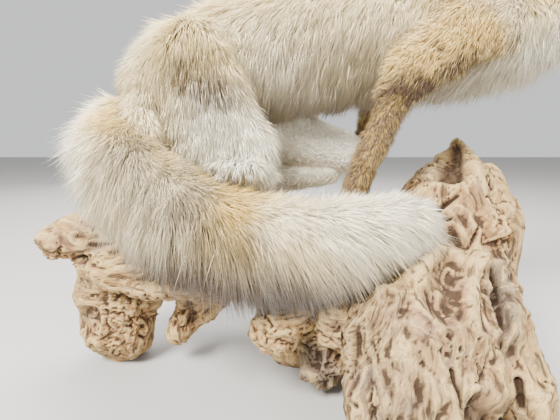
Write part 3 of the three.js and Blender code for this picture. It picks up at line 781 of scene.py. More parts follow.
# for each piece: its limbs, number of locks, length for each mm of coat, width, lift, limpness and clump (mm)
coatPieces = {
    "coatRump": {"limbs": ["trunk"], "part": (0, 0.36), "count": 25000, "long": 1.55, "wide": 1.15,
                 "lift": 0.55, "limp": 0.5, "clump": 6},
    "coatFlankRight": {"limbs": ["trunk"], "part": (0.36, 1), "side": -1, "count": 30000, "long": 1.7,
                       "wide": 1.05, "lift": 0.48, "limp": 0.6, "clump": 7},
    "coatFlankLeft": {"limbs": ["trunk"], "part": (0.36, 1), "side": 1, "count": 14000, "long": 1.7,
                      "wide": 1.9, "lift": 0.48, "limp": 0.6, "clump": 10},
    "coatNeck": {"limbs": ["neck"], "count": 18000, "long": 1.6, "wide": 1.25,
                 "lift": 0.5, "limp": 0.5, "clump": 9},
    "coatHead": {"limbs": ["head", "cheekLeft", "cheekRight", "earLeft", "earRight"], "count": 31500,
                 "long": 1.5, "wide": 0.72, "lift": 0.26, "limp": 0.2, "clump": 4},
    "coatHaunchRight": {"limbs": ["hindRightUpper", "croup"], "count": 26000, "long": 1.6, "wide": 1.05,
                        "lift": 0.50, "limp": 0.6, "clump": 6},
    "coatHindLegs": {"limbs": ["hindLeftUpper", "hindRightLower", "hindLeftLower"], "count": 15000,
                     "long": 1.7, "wide": 1.3, "lift": 0.36, "limp": 0.3, "clump": 6},
    "coatForeLegs": {"limbs": ["foreRightUpper", "foreLeftUpper", "foreRightLower", "foreLeftLower"],
                     "count": 27000, "long": 1.7, "wide": 0.95, "lift": 0.50, "limp": 0.25, "clump": 6},
    "coatPaws": {"limbs": ["paw"], "count": 7000, "long": 1.6, "wide": 0.9,
                 "lift": 0.25, "limp": 0.1, "clump": 3},
    "coatTailBase": {"limbs": ["tail"], "part": (0, 0.40), "count": 28500, "long": 1.35, "wide": 1.0,
                     "lift": 0.72, "limp": 0.25, "clump": 7},
    "coatTailEnd": {"limbs": ["tail"], "part": (0.40, 1.01), "count": 28500, "long": 1.35, "wide": 1.0,
                    "lift": 0.70, "limp": 0.35, "clump": 7},
}


def chooseRoots(skin, spec):
    # roots spread evenly by area over the triangles whose first corner belongs to the piece
    corner = skin["triangles"][:, 0]
    name = skin["limb"][corner]
    wanted = np.zeros(len(corner), bool)
    for limb in spec["limbs"]:
        wanted |= np.char.find(name, limb) == 0
    low, high = spec.get("part", (-1, 2))
    wanted &= (skin["at"][corner] >= low) & (skin["at"][corner] < high)
    if "side" in spec:
        wanted &= skin["points"][corner, 1] * spec["side"] >= 0
    wanted &= skin["dark"][corner] < 0.6
    chosen = skin["triangles"][wanted]
    a, b, c = (skin["points"][chosen[:, k]] for k in range(3))
    area = np.linalg.norm(np.cross(b - a, c - a), axis=1) / 2
    weight = area / np.maximum(skin["coat"][chosen[:, 0]], 2.0) ** 0.5
    pick = draws.choice(len(chosen), spec["count"], p=weight / weight.sum())
    first, second = draws.random(spec["count"]), draws.random(spec["count"])
    flip = first + second > 1
    first[flip], second[flip] = 1 - first[flip], 1 - second[flip]
    share = np.stack([1 - first - second, first, second], 1)
    corners = chosen[pick]

    def blend(values):
        return np.einsum("nk,nkc->nc", share, values[corners])

    root = blend(skin["points"])
    return {"root": root, "normal": unit(blend(skin["normals"])), "lie": unit(blend(skin["lie"])),
            "masks": blend(skin["masks"]), "coat": blend(skin["coat"][:, None])[:, 0],
            "at": skin["at"][corners[:, 0]], "angle": skin["angle"][corners[:, 0]],
            "limb": skin["limb"][corners[:, 0]], "area": area.sum()}


def gather(roots, tips, size):
    # locks whose roots share an uneven cell draw their tips towards the cell's common tip
    warped = roots + (np.stack([layeredNoise(roots / 14.0, 2, 120 + k) for k in range(3)], 1) - 0.5) * 14
    cell = np.floor(warped / size).astype(np.int64)
    key = cell[:, 0] * 73856093 ^ cell[:, 1] * 19349663 ^ cell[:, 2] * 83492791
    _, member = np.unique(key, return_inverse=True)
    number = np.bincount(member)[:, None]
    centre = np.stack([np.bincount(member, tips[:, k]) for k in range(3)], 1) / number
    pull = 0.10 + 0.38 * draws.random(len(roots))[:, None]
    return tips + (centre[member] - tips) * pull * smoothStep(2, 5, number[member])


def lockShapes(roots, spec):
    # a point in the skin, a flattened three-sided waist and a tip: raised at first, then leaning to the lie
    count = len(roots["root"])
    normal, lie, coat = roots["normal"], roots["lie"], roots["coat"]
    sway = np.stack([layeredNoise(roots["root"] / 11.0, 2, 70 + k) - 0.5 for k in range(3)], 1)
    drift = np.stack([valueNoise(roots["root"] / 38.0, 90 + k) - 0.5 for k in range(3)], 1)
    stray = draws.normal(0, 1, (count, 3))
    wild = draws.random(count) < 0.07
    lift = spec["lift"] * (0.7 + 0.6 * draws.random(count)) + 0.30 * sway[:, 0] + 0.15 * wild
    length = coat * spec["long"] * (0.55 + 0.6 * draws.random(count) ** 0.8) * (1 + 0.16 * wild)
    start = unit(lie * np.cos(lift)[:, None] + normal * np.sin(lift)[:, None]
                 + 0.75 * sway + 0.55 * drift + 0.17 * stray)
    droop = np.array([0, 0, -1.0]) * spec["limp"] * smoothStep(5, 24, coat)[:, None]
    finish = unit(start + 0.30 * lie + droop + 0.35 * sway + 0.10 * stray)
    middle = roots["root"] + start * (0.42 * length)[:, None]
    tip = gather(roots["root"], middle + finish * (0.58 * length)[:, None], spec["clump"])
    middle = middle + (tip - middle - finish * (0.58 * length)[:, None]) * 0.25
    wide = spec["wide"] * (0.55 + 0.8 * draws.random(count))
    wide = wide * np.clip(coat / 12, 0.6, 1.0) * (1 - 0.35 * wild)
    out = unit(np.cross(start, normal))
    up = np.cross(out, start)
    phase = draws.random(count) * 2 * math.pi
    rings = [roots["root"] - normal * 1.2]
    for corner in range(3):
        swing = phase + corner * 2 * math.pi / 3
        reach = out * (np.cos(swing) * wide * 0.5)[:, None] + up * (np.sin(swing) * wide * 0.26)[:, None]
        rings.append(middle + reach)
    return np.stack(rings + [tip], 1)


lockTriangles = np.array([(0, 1, 2), (0, 2, 3), (0, 3, 1), (1, 4, 2), (2, 4, 3), (3, 4, 1)])
lockAlong = np.array([0, 0.42, 0.42, 0.42, 1.0])
lockPoints = len(lockAlong)
patchSize = 0.003             # side of each lock's patch on the map


def makeCoat(name, spec, skin):
    # the locks of one piece as one mesh, with its marks, strand values and a small map patch for each lock
    roots = chooseRoots(skin, spec)
    locks = lockShapes(roots, spec)
    count = len(locks)
    points = locks.reshape(-1, 3)
    triangles = (lockTriangles[None] + lockPoints * np.arange(count)[:, None, None]).reshape(-1, 3)
    piece = buildPiece(name, points * mm, triangles)
    mesh = piece.data
    seen = (locks[:, 1:4].mean(1) + locks[:, 4]) / 2
    masks = roots["masks"] if name == "coatHead" else markings(seen, roots["limb"], roots["at"])
    writeColour(mesh, "marks", np.repeat(np.clip(masks, 0, 1), lockPoints, 0))
    tone = draws.random(count)
    strand = np.stack([np.tile(lockAlong, count), np.repeat(tone, lockPoints), np.zeros(len(points)),
                       np.ones(len(points))], 1)
    writeColour(mesh, "strand", strand)
    limbNames = sorted(set(roots["limb"]))
    column = np.searchsorted(limbNames, roots["limb"])
    u = (column + 0.02 + 0.96 * (roots["angle"] / (2 * math.pi) + 0.5)) / len(limbNames)
    jitter = (draws.random(count) - 0.5) / 48
    rootUv = np.stack([u, np.clip(0.02 + 0.96 * (roots["at"] + jitter), 0, 0.995)], 1)
    offsets = np.stack([(np.arange(lockPoints) % 3 - 1) * 0.4, lockAlong - 0.5], 1) * patchSize
    cornerUv = (rootUv[:, None] + offsets[None])[:, lockTriangles.ravel()].reshape(-1, 2)
    layer = mesh.uv_layers.new(name="OFBake")
    layer.data.foreach_set("uv", cornerUv.astype(np.float32).ravel())
    print(name, count, "locks over", round(roots["area"] / 100), "square cm")
    return piece


def addGroup(name, inputs, outputs):
    # an empty shader group with named sockets
    group = bpy.data.node_groups.new(name, "ShaderNodeTree")
    for label, kind, value in inputs:
        socket = group.interface.new_socket(name=label, in_out="INPUT", socket_type=kind)
        if value is not None:
            socket.default_value = value
    for label, kind in outputs:
        group.interface.new_socket(name=label, in_out="OUTPUT", socket_type=kind)
    return group, group.nodes.new("NodeGroupInput"), group.nodes.new("NodeGroupOutput")


def node(tree, kind, links=None, **settings):
    # a node with its settings, and its inputs joined to sockets or set to values
    made = tree.nodes.new(kind)
    for key, value in settings.items():
        setattr(made, key, value)
    for key, value in (links or {}).items():
        socket = made.inputs[key]
        if isinstance(value, bpy.types.NodeSocket):
            tree.links.new(value, socket)
        else:
            socket.default_value = value
    return made


def mixColour(tree, share, first, second):
    # first to second by share
    mixed = node(tree, "ShaderNodeMix", {0: share, 6: first, 7: second}, data_type="RGBA")
    return mixed.outputs[2]


def math2(tree, operation, first, second=0.0, clamp=False):
    # one sum of two values
    made = node(tree, "ShaderNodeMath", {0: first, 1: second}, operation=operation, use_clamp=clamp)
    return made.outputs[0]


def curve(tree, value, low, high, outLow=0.0, outHigh=1.0):
    # low to high becomes outLow to outHigh, held at both ends
    return node(tree, "ShaderNodeMapRange", {0: value, 1: low, 2: high, 3: outLow, 4: outHigh},
                interpolation_type="SMOOTHSTEP").outputs[0]


coatColours = {
    "cream": (0.95, 0.81, 0.49, 1), "ochre": (0.74, 0.490, 0.110, 1), "brown": (0.105, 0.060, 0.026, 1),
    "white": (0.97, 0.92, 0.75, 1), "grey": (0.42, 0.35, 0.24, 1), "lips": (0.012, 0.010, 0.009, 1),
}


def coatColourGroup():
    # cream ground, then ochre, grey, white and brown by their masks, lighter towards the tips because painted
    # shade darkens each lock towards its root
    colours = [(label.capitalize(), "NodeSocketColor", value) for label, value in coatColours.items()]
    group, source, result = addGroup("coatColour", colours + [("Painted Root Shade", "NodeSocketFloat", 0.35)],
                                     [("Colour", "NodeSocketColor")])
    marks = node(group, "ShaderNodeAttribute", attribute_name="marks")
    strand = node(group, "ShaderNodeAttribute", attribute_name="strand")
    mask = node(group, "ShaderNodeSeparateColor", {0: marks.outputs["Color"]})
    hair = node(group, "ShaderNodeSeparateColor", {0: strand.outputs["Color"]})
    along, tone, bare = hair.outputs[0], hair.outputs[1], hair.outputs[2]
    colour = mixColour(group, mask.outputs[0], source.outputs["Cream"], source.outputs["Ochre"])
    colour = mixColour(group, marks.outputs["Alpha"], colour, source.outputs["Grey"])
    colour = mixColour(group, mask.outputs[2], colour, source.outputs["White"])
    ticked = math2(group, "MULTIPLY", mask.outputs[1], curve(group, tone, 0.22, 0.58, 0.15, 1.5))
    ticked = math2(group, "ADD", ticked, curve(group, mask.outputs[1], 0.86, 0.98), clamp=True)
    colour = mixColour(group, ticked, colour, source.outputs["Brown"])
    shade = math2(group, "MULTIPLY_ADD", curve(group, along, 0.0, 0.8), 1.0)
    shade.node.inputs[2].default_value = 0.0
    # painted shade: brown mixed in towards the root of each lock, standing in for the shade between locks
    depth = math2(group, "MULTIPLY", math2(group, "SUBTRACT", 1.0, shade), source.outputs["Painted Root Shade"])
    colour = mixColour(group, depth, colour, source.outputs["Brown"])
    bright = curve(group, tone, 0.0, 1.0, 0.84, 1.16)
    vary = node(group, "ShaderNodeHueSaturation", {"Color": colour, "Value": bright}).outputs[0]
    colour = mixColour(group, bare, vary, source.outputs["Lips"])
    group.links.new(colour, result.inputs["Colour"])
    return group


def newMaterial(name):
    # a material, its node tree and its shader
    material = bpy.data.materials.new(name)
    material.use_nodes = True
    tree = material.node_tree
    return material, tree, tree.nodes["Principled BSDF"]


def coatMaterial(name, group, paintedRootShade, roughness):
    # the hair, with painted shade darkening it towards the root by the given amount
    material, tree, shader = newMaterial(name)
    placed = node(tree, "ShaderNodeGroup", {}, node_tree=group)
    placed.inputs["Painted Root Shade"].default_value = paintedRootShade
    tree.links.new(placed.outputs["Colour"], shader.inputs["Base Color"])
    shader.inputs["Roughness"].default_value = roughness
    shader.inputs["Specular IOR Level"].default_value = 0.25
    shader.inputs["Sheen Weight"].default_value = 0.25
    return material


def skinMaterial(group):
    # the hide under the hair: the same colours with a fine nap
    material, tree, shader = newMaterial("skinHide")
    placed = node(tree, "ShaderNodeGroup", {}, node_tree=group)
    tree.links.new(placed.outputs["Colour"], shader.inputs["Base Color"])
    shader.inputs["Roughness"].default_value = 0.85
    place = node(tree, "ShaderNodeTexCoord")
    nap = node(tree, "ShaderNodeTexNoise", {"Vector": place.outputs["Object"], "Scale": 900.0, "Detail": 3.0})
    bump = node(tree, "ShaderNodeBump", {"Height": nap.outputs[0], "Strength": 0.5, "Distance": 0.0012})
    tree.links.new(bump.outputs[0], shader.inputs["Normal"])
    return material


def globe(radius, rows=28, sides=40):
    # a ball in rings about its gaze, with the window bulging a little: r (1 + 0.05 e^-(turn/0.62)^2)
    turn = np.linspace(0.03, math.pi - 0.03, rows)
    swing = np.arange(sides) / sides * 2 * math.pi
    reach = radius * (1 + 0.05 * np.exp(-(turn / 0.62) ** 2))
    flat = (reach * np.sin(turn))[:, None]
    return np.stack([flat * np.cos(swing), flat * np.sin(swing),
                     np.repeat((reach * np.cos(turn))[:, None], sides, 1)], -1)


eyeGlass = {
    "amber": (0.42, 0.17, 0.022, 1),
    "gold": (0.62, 0.30, 0.05, 1),
    "rim": (0.05, 0.02, 0.006, 1),
    "pupil": (0.004, 0.003, 0.003, 1),
    "white": (0.09, 0.05, 0.03, 1),
    "iris": 0.70,             # share of the ball's radius
    "pupilWide": 0.13,
    "pupilTall": 0.52,
}


def eyeMaterial():
    # amber iris with an upright oval pupil: places on the ball come from eyeMap
    material, tree, shader = newMaterial("eyeGlass")
    gaze = node(tree, "ShaderNodeAttribute", attribute_name="eyeMap")
    part = node(tree, "ShaderNodeSeparateColor", {0: gaze.outputs["Color"]})
    across, up = (math2(tree, "MULTIPLY_ADD", part.outputs[k], 2.0) for k in (0, 1))
    for value in (across, up):
        value.node.inputs[2].default_value = -1.0
    radius = math2(tree, "SQRT", math2(tree, "ADD", math2(tree, "MULTIPLY", across, across),
                                       math2(tree, "MULTIPLY", up, up)))
    slitX = math2(tree, "DIVIDE", across, eyeGlass["pupilWide"])
    slitY = math2(tree, "DIVIDE", up, eyeGlass["pupilTall"])
    slit = math2(tree, "SQRT", math2(tree, "ADD", math2(tree, "MULTIPLY", slitX, slitX),
                                     math2(tree, "MULTIPLY", slitY, slitY)))
    place = node(tree, "ShaderNodeTexCoord")
    fleck = node(tree, "ShaderNodeTexNoise",
                 {"Vector": place.outputs["Object"], "Scale": 1400.0, "Detail": 3.0})
    flecked = curve(tree, fleck.outputs[0], 0.35, 0.7)
    amber = mixColour(tree, flecked, eyeGlass["amber"], eyeGlass["gold"])
    rimmed = curve(tree, radius, 0.45 * eyeGlass["iris"], eyeGlass["iris"])
    colour = mixColour(tree, rimmed, amber, eyeGlass["rim"])
    beyond = curve(tree, radius, eyeGlass["iris"], eyeGlass["iris"] + 0.05)
    colour = mixColour(tree, beyond, colour, eyeGlass["white"])
    colour = mixColour(tree, curve(tree, slit, 1.12, 0.9), colour, eyeGlass["pupil"])
    tree.links.new(colour, shader.inputs["Base Color"])
    shader.inputs["Roughness"].default_value = 0.06
    shader.inputs["Coat Weight"].default_value = 1.0
    shader.inputs["Coat Roughness"].default_value = 0.03
    return material


def makeEyes():
    # one glass ball in each socket, turned along its gaze
    material = eyeMaterial()
    for name, centre in eyePlaces().items():
        sign = 1 if name == "left" else -1
        gaze = eyeAxes(sign)[0]
        level = unit(np.cross([0, 0, 1.0], gaze))
        up = np.cross(gaze, level)
        rings = globe(eyes["radius"])
        points, triangles = closedTube(rings)
        world = centre + points[:, :1] * level + points[:, 1:2] * up + points[:, 2:] * gaze
        corners = world[triangles]
        first, second, third = (corners[:, k] - centre for k in range(3))
        volume = np.einsum("ij,ij->i", first, np.cross(second, third))
        outward = triangles if volume.sum() > 0 else triangles[:, ::-1]
        piece = buildPiece("eyeball_" + name, world * mm, outward)
        chart = np.hstack([points / eyes["radius"] * 0.5 + 0.5, np.ones((len(points), 1))])
        writeColour(piece.data, "eyeMap", chart)
        piece.data.materials.append(material)
        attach(piece, "root")
        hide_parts("eye_" + name)


nose = {"place": (94, 0, -3), "radii": (8.2, 9.4, 7.3),
        "pale": (0.028, 0.024, 0.022, 1), "dark": (0.010, 0.009, 0.009, 1)}


def makeNose():
    # an egg with two comma-shaped nostrils sunk from the front and a groove down the middle
    turn = np.linspace(0.02, math.pi - 0.02, 46)
    swing = np.arange(64) / 64 * 2 * math.pi
    flat = np.sin(turn)[:, None]
    ball = np.stack([np.repeat(np.cos(turn)[:, None], 64, 1), flat * np.cos(swing), flat * np.sin(swing)], -1)
    y, z = ball[..., 1], ball[..., 2]
    front = smoothStep(0.0, 0.5, ball[..., 0])
    out = np.abs(y) - 0.47
    nostril = np.exp(-(out / 0.20) ** 2 - ((z + 0.18 + 0.35 * out) / 0.20) ** 2) * front
    slot = np.exp(-((np.abs(y) - 0.80) / 0.16) ** 2 - ((z + 0.30) / 0.09) ** 2)
    slot = slot * smoothStep(-0.2, 0.2, ball[..., 0])
    groove = np.exp(-(y / 0.07) ** 2) * front * (z < 0.35)
    top = np.exp(-((z - 0.75) / 0.3) ** 2) * 0.06
    reach = 1 - 0.42 * nostril - 0.25 * slot - 0.10 * groove + top
    ball = ball * reach[..., None] * np.array(nose["radii"]) + np.array(nose["place"], float)
    points, triangles = closedTube(headToWorld(ball))
    piece = buildPiece("noseLeather", (points + headPlace) * mm, triangles)
    material, tree, shader = newMaterial("noseLeather")
    place = node(tree, "ShaderNodeTexCoord")
    pebble = node(tree, "ShaderNodeTexVoronoi", {"Vector": place.outputs["Object"], "Scale": 1150.0})
    tone = mixColour(tree, curve(tree, pebble.outputs[0], 0.1, 0.7), nose["pale"], nose["dark"])
    tree.links.new(tone, shader.inputs["Base Color"])
    bump = node(tree, "ShaderNodeBump",
                {"Height": pebble.outputs[0], "Strength": 0.6, "Distance": 0.0005}, invert=True)
    tree.links.new(bump.outputs[0], shader.inputs["Normal"])
    shader.inputs["Roughness"].default_value = 0.42
    piece.data.materials.append(material)
    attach(piece, "root")
    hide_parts("nose")


def taperedPath(path, radii, sides):
    # round section of the given radii carried along a path (rows, 3); the ends close to points
    along = unit(np.gradient(path, axis=0))
    side = unit(np.cross(along, np.array([0.13, 0.31, 0.94])))
    above = np.cross(side, along)
    swing = np.arange(sides) / sides * 2 * math.pi
    ring = side[:, None] * np.cos(swing)[:, None] + above[:, None] * np.sin(swing)[:, None]
    return closedTube(path[:, None] + ring * np.asarray(radii)[:, None, None])


def makeClaws():
    # each claw leaves its toe level and bends down to the wood, thinning as (1 - s^2)^0.7
    surfaces = []
    share = np.linspace(0, 1, 10)
    for (heelX, heelY), reach in paws.values():
        for toe in range(pawShape["toes"]):
            spread = toe - (pawShape["toes"] - 1) / 2
            startX = heelX + reach + (6 if abs(spread) < 1 else -2) + 7
            y = heelY + spread * pawShape["toeSpread"]
            path = np.stack([startX + 12 * share, y + 0 * share, standHeight + 8.8 - 6.6 * share ** 2.2], 1)
            surfaces.append(taperedPath(path, 1.9 * (1 - share ** 2) ** 0.7 + 0.15, 10))
    piece = joinSurfaces("claws", surfaces)
    material, tree, shader = newMaterial("clawHorn")
    place = node(tree, "ShaderNodeTexCoord")
    streak = node(tree, "ShaderNodeTexNoise",
                  {"Vector": place.outputs["Object"], "Scale": 420.0, "Detail": 2.0})
    tone = mixColour(tree, streak.outputs[0], (0.035, 0.026, 0.02, 1), (0.11, 0.08, 0.055, 1))
    tree.links.new(tone, shader.inputs["Base Color"])
    shader.inputs["Roughness"].default_value = 0.35
    piece.data.materials.append(material)
    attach(piece, "root")


whiskers = {"rows": 4, "perRow": 5, "length": 52, "thick": 0.26}


def makeWhiskers():
    # stiff hairs from four rows on each lip, swept back and down in a shallow arc
    surfaces = []
    share = np.linspace(0, 1, 9)[:, None]
    for sign in (1, -1):
        for row in range(whiskers["rows"]):
            for number in range(whiskers["perRow"]):
                x = 86 - 6.2 * number - 1.5 * row
                half = 14.5 + 0.10 * (86 - x)
                z = -8.5 - 3.1 * row
                root = np.array([x, sign * (half - 1.2 * abs(row - 1)), z])
                reach = whiskers["length"] * (0.62 + 0.10 * number) * (0.85 + 0.3 * draws.random())
                out = unit(np.array([-0.28 - 0.10 * number, sign * 1.0, 0.22 - 0.26 * row]))
                sag = np.array([-0.20, 0, -0.26]) * reach
                path = headToWorld(root + out * reach * share + sag * share ** 2) + headPlace
                surfaces.append(taperedPath(path, whiskers["thick"] * (1.02 - share[:, 0]), 4))
    piece = joinSurfaces("whiskers", surfaces)
    material, tree, shader = newMaterial("whiskerHair")
    strand = node(tree, "ShaderNodeTexCoord")
    tone = node(tree, "ShaderNodeTexNoise", {"Vector": strand.outputs["Object"], "Scale": 120.0})
    colour = mixColour(tree, tone.outputs[0], (0.02, 0.016, 0.013, 1), (0.07, 0.05, 0.04, 1))
    tree.links.new(colour, shader.inputs["Base Color"])
    shader.inputs["Roughness"].default_value = 0.4
    piece.data.materials.append(material)
    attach(piece, "root")


wood = {"voxel": 2.62, "smoothing": 2, "ridge": 12.0, "crumb": 4.6}   # mm, and rounds of evening out
woodCarvings = [              # from, to, radius, depth (raised if negative), darkening, silver (mm)
    ((216, 2, 286), (192, -40, 248), 22, 15, 1.0, 0.0),
    ((172, -66, 215), (192, -66, 231), 4, 9, 1.0, 0.0),
    ((166, -68, 203), (185, -74, 206), 3, 7, 1.0, 0.0),
    ((198, -84, 175), (211, -82, 198), 2.6, 6, 0.9, 0.0),
    ((162, -128, 172), (150, -150, 142), 21, 15, 0.12, 0.1),
    ((217, -100, 142), (218, -118, 110), 20, 21, 0.50, 1.0),
    ((190, -104, 172), (173, -156, 126), 9, -8, 0, 0),
    ((187, -119, 167), (240, -82, 162), 8, -7, 0, 0),
    ((150, -180, 92), (154, -190, 68), 5, 9, 0.9, 0.3),
    ((236, -136, 52), (239, -143, 28), 5, 10, 0.9, 0.6),
    ((228, -122, 92), (222, -130, 82), 14, 3, 0.1, 0.7),
    ((-248, -32, 158), (-192, -54, 177), 7, 7, 0.55, 0.7),
    ((-240, -40, 146), (-205, -40, 158), 8, 6, 0.5, 0.4),
    ((98, -172, 132), (88, -190, 10), 7, 4.5, 0.25, 0.3),
    ((120, -178, 118), (118, -196, 10), 5, 3.5, 0.2, 0.2),
    ((72, -150, 120), (66, -170, 10), 6, 5, 0.4, 0.4),
    ((172, -192, 58), (192, -184, 20), 22, 16, 0.9, 0.0),
    ((70, -150, 120), (105, -186, 20), 46, 0, 0.0, 0.40),
    ((140, -172, 110), (160, -190, 20), 36, 0, 0.0, 0.30),
    ((30, -108, 62), (46, -98, 40), 20, 6, 0.3, 1.0),
    ((-112, -36, 92), (-104, -30, 60), 8, 5, 0.5, 0.2),
    ((205, -55, 225), (228, -40, 205), 6, 4, 0.4, 0.2),
    ((-40, 70, 165), (60, 84, 170), 7, 6, 0.6, 0.3),
    ((200, 60, 200), (190, 70, 110), 9, 8, 0.5, 0.5),
    ((140, 92, 150), (150, 100, 60), 6, 6, 0.6, 0.2),
    ((-160, 60, 150), (-100, 76, 160), 6, 5, 0.5, 0.4),
]
crumbly = [                   # centre and radius of the rough, broken places (mm)
    ((-195, -45, 66), 44), ((-250, -35, 150), 26), ((0, -122, 92), 42), ((44, -112, 84), 44),
    ((40, -90, 48), 50), ((-112, -30, 60), 34), ((230, -60, 190), 30), ((236, -60, 120), 34),
    ((-150, 40, 60), 50), ((120, 110, 60), 60),
]


def lineReach(points, start, end):
    # distance from each point to the straight line between two places
    start, end = np.array(start, float), np.array(end, float)
    share = np.clip((points - start) @ (end - start) / ((end - start) @ (end - start)), 0, 1)
    return np.linalg.norm(points - start - share[:, None] * (end - start), axis=1)


def makeDriftwood():
    # the wood's solid, remeshed fine, then moved along its normals by ridges, grain, crumbs and carvings
    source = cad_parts["driftwood"]
    work = bmesh.new()
    work.from_mesh(source.data)
    bmesh.ops.remove_doubles(work, verts=work.verts, dist=1e-5)
    mesh = bpy.data.meshes.new("weatheredWood")
    work.to_mesh(mesh)
    work.free()
    piece = bpy.data.objects.new("weatheredWood", mesh)
    bpy.context.scene.collection.objects.link(piece)
    remesh = piece.modifiers.new("remesh", "REMESH")
    remesh.mode, remesh.voxel_size = "VOXEL", wood["voxel"] * mm
    bakeModifiers(piece)
    mesh = piece.data
    edges = readEdges(mesh)
    points = evenOut(readPoints(mesh) / mm, edges, wood["smoothing"])
    writePoints(mesh, points * mm)
    normals = unit(evenOut(readNormals(mesh), edges, 8))
    share = np.clip(smoothStep(60, 130, points[:, 0]) + smoothStep(150, 60, points[:, 2]), 0, 1)
    twist = np.stack([layeredNoise(points / 55.0, 3, 11 + k) - 0.5 for k in range(3)], 1) * 44
    bent = points + twist

    def grained(long, wide, salt):
        # noise drawn out along the log, or down the roots
        onLog = valueNoise(bent / np.array([long, wide, wide]), salt)
        onRoot = valueNoise(bent / np.array([wide, wide, long]), salt)
        return onLog * (1 - share) + onRoot * share

    def crest(values):
        return 1 - np.abs(2 * values - 1)

    rough = np.zeros(len(points))
    for centre, radius in crumbly:
        reach = np.linalg.norm(points + twist * 0.4 - centre, axis=1) / radius
        rough = np.maximum(rough, 1 - smoothStep(0.55, 1.15, reach))
    rough = np.maximum(rough, smoothStep(-0.45, -0.8, normals[:, 2]) * 0.8)
    big, middling = crest(grained(70, 34, 21)), crest(grained(34, 15, 23))
    small, fine = crest(grained(26, 6.5, 25)), grained(20, 2.8, 27)
    move = wood["ridge"] * (big ** 1.5 - 0.42) + 0.42 * wood["ridge"] * (middling ** 1.4 - 0.45)
    move += 1.7 * (small ** 1.3 - 0.45) + 1.3 * (fine - 0.5)
    torn = points + 1.6 * twist
    chips = crest(layeredNoise(torn / np.array([13.0, 13.0, 6.5]), 3, 41))
    lumps = layeredNoise(torn / np.array([30.0, 30.0, 16.0]), 3, 47)
    ledge = np.abs((lumps * 7) % 1 - 0.5) * 2
    move += rough * wood["crumb"] * (0.7 * chips + 3.6 * (lumps - 0.5) + 0.6 * ledge - 0.8)
    split = crest(grained(95, 16, 35))
    split = smoothStep(0.962, 0.995, split) * smoothStep(0.50, 0.60, valueNoise(points / 30.0, 37))
    holes = smoothStep(0.30, 0.14, cellNoise(points / 10.0, 43))
    holes = holes * smoothStep(0.62, 0.74, valueNoise(points / 26.0, 45))
    # splits and holes made darker
    crackDarkening, silver = 0.9 * split + 0.8 * holes, np.zeros(len(points))
    sunk = 4.5 * split + 3.0 * holes
    for start, end, radius, depth, carvingDarkening, weathered in woodCarvings:
        reach = lineReach(points + twist * 0.12, start, end) / radius
        cut = 1 - smoothStep(0.25, 1.15, reach)
        sunk += depth * cut
        crackDarkening = np.maximum(crackDarkening, carvingDarkening * (1 - smoothStep(0.35, 1.0, reach)))
        silver = np.maximum(silver, weathered * (1 - smoothStep(0.7, 1.5, reach)))
    free = smoothStep(0.0, 12.0, points[:, 2])
    inner = (points[:, 0] < 60) & (points[:, 2] > 150)
    move = np.where(inner, np.minimum(move, 2.0), move)
    points = points + normals * ((move - sunk - 1.0) * free)[:, None]
    points[:, 2] = np.maximum(points[:, 2], 0.0)
    writePoints(mesh, points * mm)
    mesh.polygons.foreach_set("use_smooth", np.full(len(mesh.polygons), True))
    mesh.update()
    normals = readNormals(mesh)
    # painted shade and highlight: how far each place lies below or above its neighbours, read later as darker
    # hollows and lighter ridges
    curl = np.einsum("nc,nc->n", evenOut(points, edges, 3) - points, normals)
    broad = np.einsum("nc,nc->n", evenOut(points, edges, 24) - points, normals)
    hollowShadeRidgeLight = np.clip(0.5 + 0.55 * curl + 0.10 * broad, 0, 1)
    bleach = layeredNoise(points / 60.0, 3, 53)
    writeColour(mesh, "woodMarks", np.stack([hollowShadeRidgeLight, np.clip(crackDarkening, 0, 1), bleach, rough], 1))
    writeColour(mesh, "woodGrain", np.stack([silver, share, fine, np.ones(len(points))], 1))
    piece.data.materials.append(woodMaterial())
    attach(piece, "root")
    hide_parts("driftwood")
    print("driftwood", len(mesh.vertices), "vertices", len(readTriangles(mesh)), "triangles")


woodColours = {
    "bleached": (0.45, 0.285, 0.108, 1),
    "tan": (0.285, 0.158, 0.050, 1),
    "pink": (0.30, 0.178, 0.096, 1),
    "silver": (0.14, 0.113, 0.092, 1),
    # dark brown of the grain and cracks, also laid in hollows as painted shade
    "darkGrainAndShade": (0.028, 0.013, 0.006, 1),
    # pale streaks of the grain, also laid on ridges as painted highlight
    "paleGrainAndHighlight": (0.53, 0.375, 0.165, 1),
    "amber": (0.29, 0.125, 0.031, 1),
}


